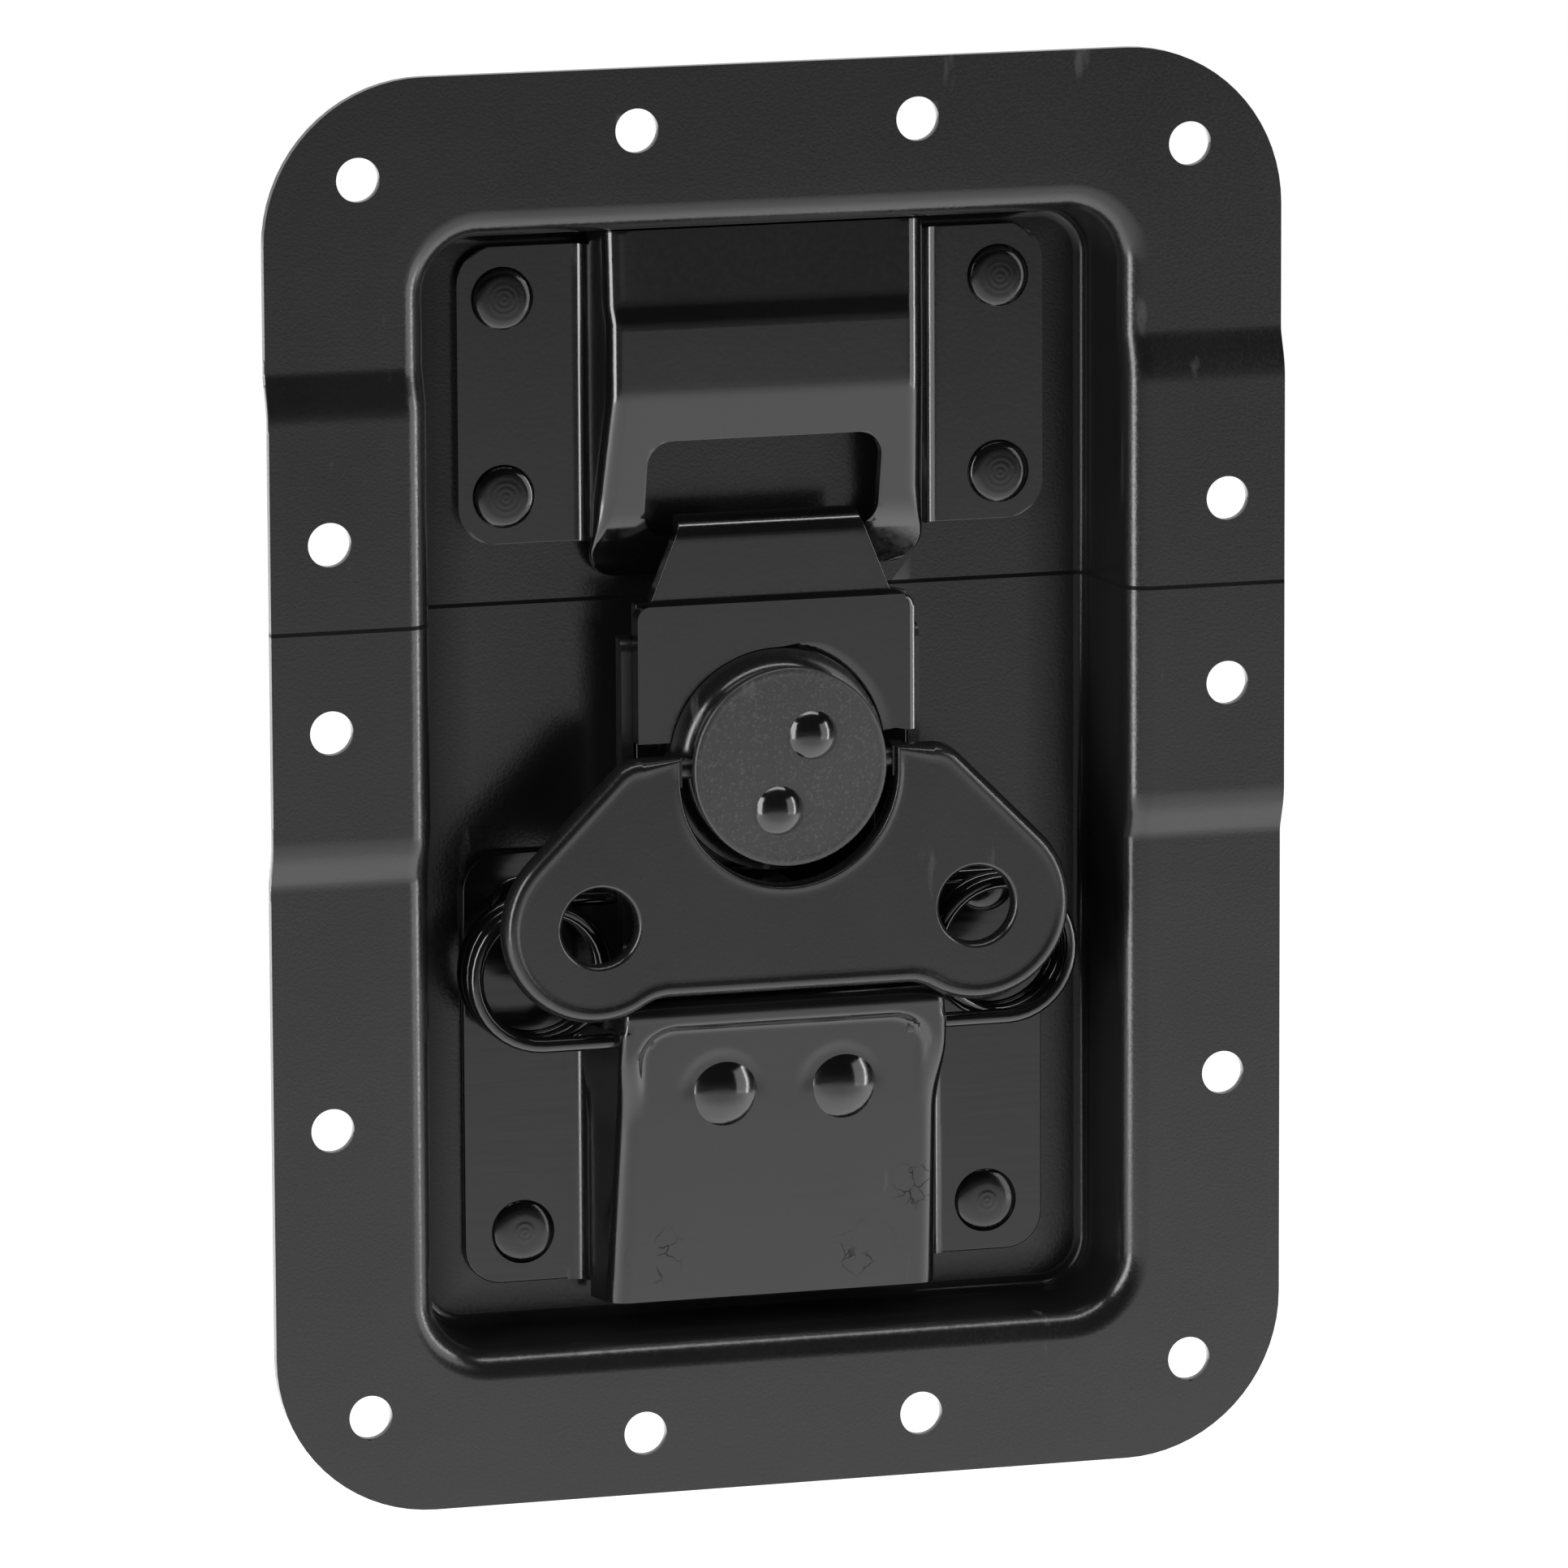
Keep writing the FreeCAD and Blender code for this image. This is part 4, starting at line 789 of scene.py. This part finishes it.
def wingOutline():  # the wings' edge, clockwise in x and z, and the notch between them
    h = handle
    turn = h["lobeX"] + h["lobeZ"] + h["lobe"] * sqrt(2) - h["top"]
    touch = h["lobe"] * sqrt(0.5)
    rise = h["lobe"] + h["waist"]
    waistZ = h["bottom"] - h["waist"]
    waistX = h["lobeX"] - sqrt(rise ** 2 - (h["lobeZ"] - waistZ) ** 2)
    meet = degrees(atan2(waistZ - h["lobeZ"], waistX - h["lobeX"]))
    corner = roundCorners([(h["notch"], h["top"], 0), (turn, h["top"], h["shoulder"]),
                           (h["lobeX"] + touch, h["lobeZ"] + touch, 0)], 10)
    half = [(h["notch"], h["top"])] + corner[1:-1]
    half += arcPoints(h["lobeX"], h["lobeZ"], h["lobe"], 45, meet, 40)
    half += arcPoints(waistX, waistZ, h["waist"], meet + 180, 90, 10)[1:]
    half += [(waistX * t, h["bottom"]) for t in (0.66, 0.33)]
    loop = half + [(0, h["bottom"])] + [(-x, z) for x, z in reversed(half)]
    notch = arcPoints(0, h["notchZ"], h["notch"], 180, 360, 48)
    return list(reversed(loop)), notch


def buildHandle():
    h = handle
    loop, notch = wingOutline()
    edge = loop + notch[::-1]
    outer = h["frontY"] + h["depth"]
    area = sum(edge[i - 1][0] * edge[i][1] - edge[i][0] * edge[i - 1][1] for i in range(len(edge)))
    if area < 0:
        edge.reverse()
    moved = outward(edge, -1.0)

    def ring(share, y, extra=0):  # share of the roll that the edge has moved in
        result = []
        for (x, z), (inX, inZ) in zip(edge, moved):
            onNotch = (hypot(x, z - h["notchZ"]) < h["notch"] + 0.05
                       or abs(abs(x) - h["notch"]) < 0.01)
            amount = share * (h["notchRoll"] if onNotch else h["roll"]) + extra
            lower = min(y, outer) if onNotch else y
            result.append((x + (inX - x) * amount, lower, z + (inZ - z) * amount))
        return result

    crest = h["frontY"] - h["bead"]
    rings = [ring(0, outer)]
    for a in range(0, 91, 9):
        t = radians(a)
        rings.append(ring(1 - cos(t), outer + (crest - outer) * sin(t)))
    for y, extra in ((crest + 0.02, 0.2), (h["frontY"] - 0.04, 0.45), (h["frontY"], 0.7),
                     (h["frontY"], 1.2)):
        rings.append(ring(1, y, extra))
    piece = loftPiece("handleShell", rings, True, False, True)
    tidyNormals(piece, 0.0005)
    editMesh(piece, faceFront)
    thicken(piece, h["sheet"])
    spots = [(-h["fingerX"], h["fingerZ"]), (h["fingerX"], h["fingerZ"])]
    cutWith(piece, [rods("fingerTool", spots, h["finger"] + 0.55, -7, 0, 72)])
    parts = [piece]
    hole, roll, front = h["finger"], h["fingerRoll"], h["frontY"]
    lip = [(hole + roll * (1 - sin(t)), front + roll * (1 - cos(t)))
           for t in (radians(a) for a in range(0, 91, 10))]  # rolled lip of the finger hole
    lip += [(hole, front + 1.9), (hole + roll / 2, front + 2.0), (hole + roll, front + 1.9),
            (hole + roll, front), lip[0]]
    for side in (-1, 1):
        parts += [lathe("lip", lip, side * h["fingerX"], h["fingerZ"], 72), earPiece(side)]
    piece = joinPieces("handleLook", parts)
    softenEdges(piece, h["edge"], 50)
    dress(piece, "handleBlack", "handle", "handle", 30)


def earPiece(side):
    h = handle
    ring = arcPoints(h["pinY"], h["pinZ"], h["ear"], -90, 90, 16)
    outline = ring + [(h["frontY"] + 0.7, h["top"] - 0.1), (h["frontY"] + 0.7, h["pinZ"] - h["ear"])]
    rings = [[(side * x, y, z) for y, z in outline] for x in (h["earInner"], h["earOuter"])]
    ear = loftPiece("ear", rings, True, True, True)
    tidyNormals(ear)
    tool = lathe("earTool", [(0, -1), (h["pinHole"], -1), (h["pinHole"], 1), (0, 1)], 0, 0, 40)
    middle = side * (h["earInner"] + 0.7)
    tool.data.transform(Matrix.Translation(Vector((middle, h["pinY"], h["pinZ"])) * mm)
                        @ Matrix.Rotation(radians(90), 4, "Z"))
    cutWith(ear, [tool])
    return ear


buildHandle()
print("handle pressed")


# hook plate: sliding plate, raised pad with its arch, folded lip

hook = dict(sheet=2.0, frontY=2.5, half=16.85, tail=-25.0, shoulder=21.5, neck=14.9, tip=11.3,
            lipUnder=29.5, lipReach=6.8, lipCorner=1.4, bend=2.5, padY=0.1, padHalf=17.3, padLow=5.0,
            padCorner=1.6, edge=0.4, padEdge=0.2, archBevel=1.5, sideBevel=0.9, bevelDeep=0.45, arch=13.6,
            axisZ=2.3, window=12.8, windowLow=-10.95, windowHigh=9.55, guide=1.7, guideLow=-22.7,
            guideHigh=-13.3)


def plateHalf(z):
    k = hook
    marks = [(k["tail"], k["half"]), (k["shoulder"], k["half"]), (k["shoulder"] + 0.3, k["neck"]),
             (k["lipUnder"] + 1.2, k["tip"]), (99, k["tip"])]
    for (z0, w0), (z1, w1) in zip(marks, marks[1:]):
        if z <= z1:
            return w0 + (w1 - w0) * (z - z0) / (z1 - z0)
    return k["tip"]


def buildHook():
    k = hook
    top = k["lipUnder"] + k["sheet"]
    line = [(k["frontY"], z) for z in evenSteps(k["tail"], 21.0, 3)]
    line += [(k["frontY"], z) for z in (21.5, 21.65, 21.8, 23, 24.5, 26, 27.3, 28.4)]
    line += [(k["frontY"] + k["bend"] - y, top - k["bend"] + z)
             for y, z in arcPoints(0, 0, k["bend"], 0, 90, 12)]
    line += [(y, top) for y in (5.4, 5.8, 6.3, k["lipReach"])]
    columns = [-1, -0.85, -0.5, 0, 0.5, 0.85, 1]
    rings = []
    for y, z in line:
        half, r = plateHalf(z), k["lipCorner"]
        if z > top - 0.01:
            half -= r - sqrt(max(0, r ** 2 - max(0, r - (k["lipReach"] - y)) ** 2))
        rings.append([(half * c, y, z) for c in columns])
    plate = loftPiece("plateSheet", rings, False)
    editMesh(plate, faceFront)
    thicken(plate, k["sheet"])
    x, low, high, g = k["window"], k["windowLow"], k["windowHigh"], k["guide"]
    window = [(-x, low), (x, low), (x, high), (-x, high)]
    slot = (arcPoints(0, k["guideHigh"] - g, g, 0, 180, 12)
            + arcPoints(0, k["guideLow"] + g, g, 180, 360, 12))
    cutWith(plate, [prism("windowTool", window, 0, 6), prism("slotTool", slot, 0, 6)])
    softenEdges(plate, k["edge"], 40, 3)
    arch, axis = k["arch"], k["axisZ"]
    start = degrees(atan2(k["padLow"] - axis, sqrt(arch ** 2 - (axis - k["padLow"]) ** 2)))
    x, low, high, r = k["padHalf"], k["padLow"], k["shoulder"], k["padCorner"]
    shape = roundCorners([(x, low, 0), (x, high, r), (-x, high, r), (-x, low, 0)])
    shape += arcPoints(0, axis, arch, 180 - start, start, 40)
    front = []
    for x, z in shape:  # a shallow bevel on the right side and along the arch's right half
        away = hypot(x, z - axis)
        wide = k["archBevel"] * smoothStep(x, 0, 6) if abs(away - arch) < 0.01 else 0
        inset = k["sideBevel"] * smoothStep(x, k["padHalf"] - k["padCorner"], k["padHalf"])
        grown = 1 + wide / away
        front.append((x * grown - inset, k["padY"], axis + (z - axis) * grown))
    rings = [front] + [[(x, y, z) for x, z in shape]
                       for y in (k["padY"] + k["bevelDeep"], k["frontY"] + 0.05)]
    pad = loftPiece("pad", rings, True, True, True)
    tidyNormals(pad)
    softenEdges(pad, k["padEdge"], 50)
    piece = joinPieces("hookLook", [plate, pad])
    dress(piece, "glossBlack", "hook", "hook_plate")


buildHook()
print("hook plate bent")


# drum and its cap

drum = dict(axisZ=2.3, topY=-4.3, radius=10.5, lowRadius=10.7, base=13.4, baseY=0.3, hat=2.7, footY=2.2,
            bore=2.25, well=3.4, wellDepth=1.6, cap=12.0, capY=-5.5, capEdge=0.4, chamfer=0.3, groove=1.1,
            grooveHalf=0.25, grooveDepth=0.035, sides=128)


def buildDrum():
    d = drum
    well, e, c = d["topY"] + d["wellDepth"], d["chamfer"], d["capEdge"]
    profile = [(d["well"], well), (d["well"], d["topY"]), (d["radius"] - e, d["topY"]),
               (d["radius"], d["topY"] + e), (d["lowRadius"], d["baseY"] - d["hat"])]
    for a in (radians(k) for k in range(10, 91, 10)):  # hollow flare down to the foot
        profile.append((d["lowRadius"] + d["hat"] * (1 - cos(a)),
                        d["baseY"] - d["hat"] * (1 - sin(a))))
    profile += [(d["base"], d["baseY"] + e), (d["base"], d["footY"]), (d["bore"], d["footY"]),
                (d["bore"], well), (d["well"], well)]
    body = lathe("drumLook", profile, 0, d["axisZ"], d["sides"])
    dress(body, "drumBlack", "cam", "drum", 28)
    groove, wide = d["cap"] - d["groove"], d["grooveHalf"]
    profile = [(0, d["capY"]), (groove - wide, d["capY"]), (groove, d["capY"] + d["grooveDepth"]),
               (groove + wide, d["capY"]), (d["cap"] - c, d["capY"])]
    for a in (radians(k) for k in (30, 60, 90)):
        profile.append((d["cap"] - c + c * sin(a), d["capY"] + c * (1 - cos(a))))
    profile += [(d["cap"], d["topY"] - 0.15), (d["cap"] - 0.15, d["topY"]), (0, d["topY"])]
    cap = lathe("capLook", profile, 0, d["axisZ"], d["sides"])
    dress(cap, "capSatin", "cam", "cap_disc", 28)


# spring: one wire, from its left tail through both coils and the hinge pin to its right tail

spring = dict(wire=0.95, axisY=1.2, axisZ=-31.0, coilX=29.0, coil=8.2, turns=2.5, pitch=2.48, tail=12.0,
              sides=16, lead=0.6, edge=0.15)


def wirePath():  # from the middle of the pin out to the right coil and along its tail
    s = spring
    lead = s["coilX"] - s["lead"]
    path = [(x, s["axisY"], s["axisZ"]) for x in evenSteps(0, lead, 4)]
    deep = s["pitch"] * s["turns"]
    steps = int(s["turns"] * 40)
    for i in range(steps + 1):
        a = 2 * pi * s["turns"] * i / steps
        path.append((s["coilX"] + s["coil"] * sin(a), s["axisY"] + deep * i / steps,
                     s["axisZ"] + s["coil"] - s["coil"] * cos(a)))
    return path + [(x, s["axisY"] + deep, s["axisZ"] + 2 * s["coil"])
                   for x in evenSteps(lead, s["tail"], 4)]


def tubeRings(path, radius, sides):
    rings, normal = [], Vector((0, 0, 1))
    for i, point in enumerate(path):
        here = Vector(point)
        ahead = Vector(path[min(i + 1, len(path) - 1)]) - Vector(path[max(i - 1, 0)])
        ahead.normalize()
        normal = (normal - ahead * normal.dot(ahead)).normalized()
        cross = ahead.cross(normal)
        rings.append([tuple(here + (normal * cos(2 * pi * k / sides)
                                    + cross * sin(2 * pi * k / sides)) * radius)
                      for k in range(sides)])
    return rings


def buildSpring():
    s = spring
    right = wirePath()
    path = [(-x, y, z) for x, y, z in reversed(right)] + right[1:]
    rings = tubeRings(path, s["wire"], s["sides"])
    piece = loftPiece("springLook", rings, True, True, True)
    tidyNormals(piece)
    softenEdges(piece, s["edge"], 60)
    dress(piece, "springGloss", "root", "spring", 50)


buildDrum()
buildSpring()
print("drum, cap and spring made")


# rivets: each kind is turned once and repeated by geometry nodes

def squareSpots(x, low, high):
    return [(side * x, z) for side in (-1, 1) for z in (low, high)]


rivets = {
    "keeper_rivets": dict(
        name="keeperRivetsLook", spots=squareSpots(30.9, 34.1, 57.9), seatY=10.1, head=3.85, crown=0.9,
        flat=0.62, shank=1.8, length=2.7, tail=3.2),
    "housing_rivets": dict(
        name="housingRivetsLook", spots=squareSpots(29.2, -55.6, -15.9), seatY=10.4, head=3.9, crown=0.7,
        flat=0.42, shank=1.8, length=2.4, tail=3.2),
    "cover_rivets": dict(
        name="coverRivetsLook", spots=[(-6.75, -38.2), (8.15, -38.2)], seatY=0.25, lean=6, head=4.1,
        crown=1.5, flat=0, shank=1.5, length=2.1, tail=2.4),
    "cap_rivets": dict(
        name="capRivetsLook", spots=[(2.75, 6.0), (-1.45, -2.9)], seatY=-5.5, head=2.95, crown=1.3,
        flat=0, shank=1.2, length=9.0, tail=1.1, body="cam", slot="cap_black"),
}


def rivetMaster(r):  # "flat" is the share of the head that is nearly level and carries turning rings
    head, crown, end, tail = r["head"], r["crown"], r["length"], r["tail"]
    if r["flat"]:
        edge = head * (1 - r["flat"])
        level = head - edge
        profile = [(level * k / 12, -crown - 0.05 * (1 - (k / 12) ** 2)) for k in range(12)]
        profile = [(radius, y + 0.007 * cos(radius * 9)) for radius, y in profile]
        profile += [(level + edge * sin(radians(a)), -crown * cos(radians(a)))
                    for a in range(0, 91, 9)]
    else:
        radius = (crown ** 2 + head ** 2) / (2 * crown)
        span = asin(min(1, head / radius))
        profile = [(radius * sin(span * k / 14), radius * (1 - cos(span * k / 14)) - crown)
                   for k in range(15)]
    profile += [(r["shank"], 0.02), (r["shank"], end), (tail, end), (tail, end + 0.7),
                (tail * 0.8, end + 1.1), (0, end + 1.1)]
    master = lathe("rivetMaster", profile, 0, 0, 64)
    smoothFaces(master, 50)
    return master


def repeatTree(material):
    tree = bpy.data.node_groups.new("repeatedRivets", "GeometryNodeTree")
    for name, way, kind in (("Places", "INPUT", "Geometry"), ("Rivet", "INPUT", "Object"),
                            ("Lean", "INPUT", "Float"), ("Rivets", "OUTPUT", "Geometry")):
        tree.interface.new_socket(name, in_out=way, socket_type="NodeSocket" + kind)
    make = tree.nodes.new
    start, end = make("NodeGroupInput"), make("NodeGroupOutput")
    info, spread = make("GeometryNodeObjectInfo"), make("GeometryNodeInstanceOnPoints")
    turn, solid = make("ShaderNodeCombineXYZ"), make("GeometryNodeRealizeInstances")
    coat = make("GeometryNodeSetMaterial")
    coat.inputs["Material"].default_value = material
    for source, given, target, taken in (
            (start, "Places", spread, "Points"), (start, "Rivet", info, "Object"),
            (info, "Geometry", spread, "Instance"), (start, "Lean", turn, "X"),
            (turn, "Vector", spread, "Rotation"), (spread, "Instances", solid, "Geometry"),
            (solid, "Geometry", coat, "Geometry"), (coat, "Geometry", end, "Rivets")):
        tree.links.new(source.outputs[given], target.inputs[taken])
    return tree


def buildRivets(node, r):
    master = rivetMaster(r)
    mesh = bpy.data.meshes.new(r["name"])
    mesh.from_pydata([(x * mm, r["seatY"] * mm, z * mm) for x, z in r["spots"]], [], [])
    piece = makePiece(r["name"], mesh)
    repeat = piece.modifiers.new("repeat", "NODES")
    repeat.node_group = repeatTree(coats["rivetBlack"])
    ids = {item.name: item.identifier for item in repeat.node_group.interface.items_tree
           if item.in_out == "INPUT"}
    repeat[ids["Rivet"]] = master
    repeat[ids["Lean"]] = radians(r.get("lean", 0))
    bakeModifiers(piece)
    bpy.data.objects.remove(master)
    dress(piece, "rivetBlack", r.get("body", "root"), node, 40)


for node, kind in rivets.items():
    buildRivets(node, kind)
print("rivets set")


# the pieces that keep their solid shape only take a coat

for node in ("wire_clamp", "carrier", "guide_rivet", "cam_stud", "stud_washer", "cam", "handle_pins"):
    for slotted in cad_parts[node].material_slots:
        slotted.material = coats["innerBlack"]


# floor, light and camera, in metres; the flats mirror the floor's glow, the domes the dark room

studio = dict(floorDrop=0.12, floorHalf=3, front=-4.0, back=4.0, floorTone=0.8, floorRough=0.9,
              floorGloss=0.1, farY=-2.0, nearY=-0.7, farGlow=0.3, nearGlow=0.9, underFrom=-0.45,
              underTo=-0.12, underGlow=2.0, sideStart=0.5, sideEnd=0.85, sideGlow=0.12, cameraGlow=0.84,
              diffuseRoom=0.2, horizon=(-0.08, 0.22), horizonRoom=0.28, highRoom=0.02, behind=(0.3, 0.6),
              backRoom=0.9)
lamps = {
    "leftBox": dict(place=(-0.6, -0.296, 0.1), width=0.184, height=0.72, power=4.2),
    "rightBox": dict(place=(0.51, -0.405, 0.03), width=0.4, height=0.64, power=2.0),
    "rightStrip": dict(place=(0.568, -0.3, 0.03), width=0.059, height=0.64, power=1.35),
    "topBox": dict(place=(0, -0.22, 0.85), width=1.0, height=0.12, power=3.0),
}
photo = dict(azimuth=-16.775, elevation=10.321, roll=-0.268, distance=1.542133,
             target=(0.37574, -1.2, -0.50799), focal=15908.3, pixels=1932, sensor=36)


def paleStage():
    t = studio
    floorZ = cadBox[0][2] - t["floorDrop"]
    rows = evenSteps(t["front"], t["back"], 0.5)
    points = [(x, y, floorZ) for y in rows for x in (-t["floorHalf"], t["floorHalf"])]
    faces = [(2 * i, 2 * i + 1, 2 * i + 3, 2 * i + 2) for i in range(len(rows) - 1)]
    mesh = bpy.data.meshes.new("paleFloor")
    mesh.from_pydata(points, [], faces)
    floor = makePiece("paleFloor", mesh)
    material = bpy.data.materials.new("paleFloor")
    material.use_nodes = True
    tree = material.node_tree
    shader = tree.nodes["Principled BSDF"]
    tone = t["floorTone"]
    fillNode(shader, {"Base Color": (tone, tone, tone, 1), "Roughness": t["floorRough"],
                      "Specular IOR Level": t["floorGloss"], "Emission Color": (1, 1, 1, 1)})
    rays = tree.nodes.new("ShaderNodeLightPath").outputs
    split = splitNode(tree, tree.nodes.new("ShaderNodeTexCoord").outputs["Object"])
    wide = rampNode(tree, split["Y"], t["farY"], t["nearY"], t["farGlow"], t["nearGlow"])
    close = rampNode(tree, split["Y"], t["underFrom"], t["underTo"], 0, t["underGlow"])
    deep = mathNode(tree, "MAXIMUM", wide, close)
    aside = mathNode(tree, "ABSOLUTE", split["X"])
    fade = mathNode(tree, "MULTIPLY", deep,
                    rampNode(tree, aside, t["sideStart"], t["sideEnd"], 1, t["sideGlow"]))
    seen = mathNode(tree, "MULTIPLY", rays["Is Camera Ray"], t["cameraGlow"])
    mirrored = mathNode(tree, "MULTIPLY", rays["Is Glossy Ray"], fade)
    tree.links.new(mathNode(tree, "MAXIMUM", seen, mirrored), shader.inputs["Emission Strength"])
    floor.data.materials.append(material)


def softLamp(name, box):
    lamp = bpy.data.lights.new(name, "AREA")
    lamp.shape = "RECTANGLE"
    lamp.size, lamp.size_y, lamp.energy = box["width"], box["height"], box["power"]
    holder = bpy.data.objects.new(name, lamp)
    holder.location = box["place"]
    holder.rotation_euler = (-Vector(box["place"])).to_track_quat("-Z", "Y").to_euler()
    scene.collection.objects.link(holder)


def studioLight():
    t = studio
    world = bpy.data.worlds.new("softRoom")
    scene.world = world
    world.use_nodes = True
    tree = world.node_tree
    back = tree.nodes["Background"]
    rays = tree.nodes.new("ShaderNodeLightPath").outputs
    split = splitNode(tree, tree.nodes.new("ShaderNodeTexCoord").outputs["Generated"])
    dusk = rampNode(tree, split["Z"], *t["horizon"], t["horizonRoom"], t["highRoom"])  # darker higher up
    behind = rampNode(tree, split["Y"], *t["behind"], 0, t["backRoom"])  # pale wall behind the object
    mirrored = mathNode(tree, "MULTIPLY", rays["Is Glossy Ray"], mathNode(tree, "MAXIMUM", dusk, behind))
    spread = mathNode(tree, "MULTIPLY", rays["Is Diffuse Ray"], t["diffuseRoom"])
    base = mathNode(tree, "MAXIMUM", mirrored, spread)
    back.inputs["Color"].default_value = (1, 1, 1, 1)
    tree.links.new(mathNode(tree, "MAXIMUM", base, rays["Is Camera Ray"]), back.inputs["Strength"])
    for name, box in lamps.items():
        softLamp(name, box)


def photoCamera():  # the camera fitted to the photo
    azimuth, elevation, roll = (radians(photo[key]) for key in ("azimuth", "elevation", "roll"))
    target = Vector([value * mm for value in photo["target"]])
    back = Vector((sin(azimuth) * cos(elevation), -cos(azimuth) * cos(elevation),
                   sin(elevation)))
    right = Matrix.Rotation(roll, 3, back) @ Vector((cos(azimuth), sin(azimuth), 0))
    up = back.cross(right)
    lens = bpy.data.cameras.new("photoCamera")
    lens.sensor_width = photo["sensor"]
    lens.sensor_fit = "HORIZONTAL"
    lens.lens = photo["sensor"] * photo["focal"] / photo["pixels"]
    lens.clip_start = 0.01
    holder = bpy.data.objects.new("photoCamera", lens)
    turned = Matrix((right, up, back)).transposed()
    holder.matrix_world = Matrix.Translation(target + back * photo["distance"]) @ turned.to_4x4()
    scene.collection.objects.link(holder)
    scene.camera = holder


paleStage()
studioLight()
photoCamera()
scene.view_settings.view_transform = "Standard"
print("stage, light and camera set")
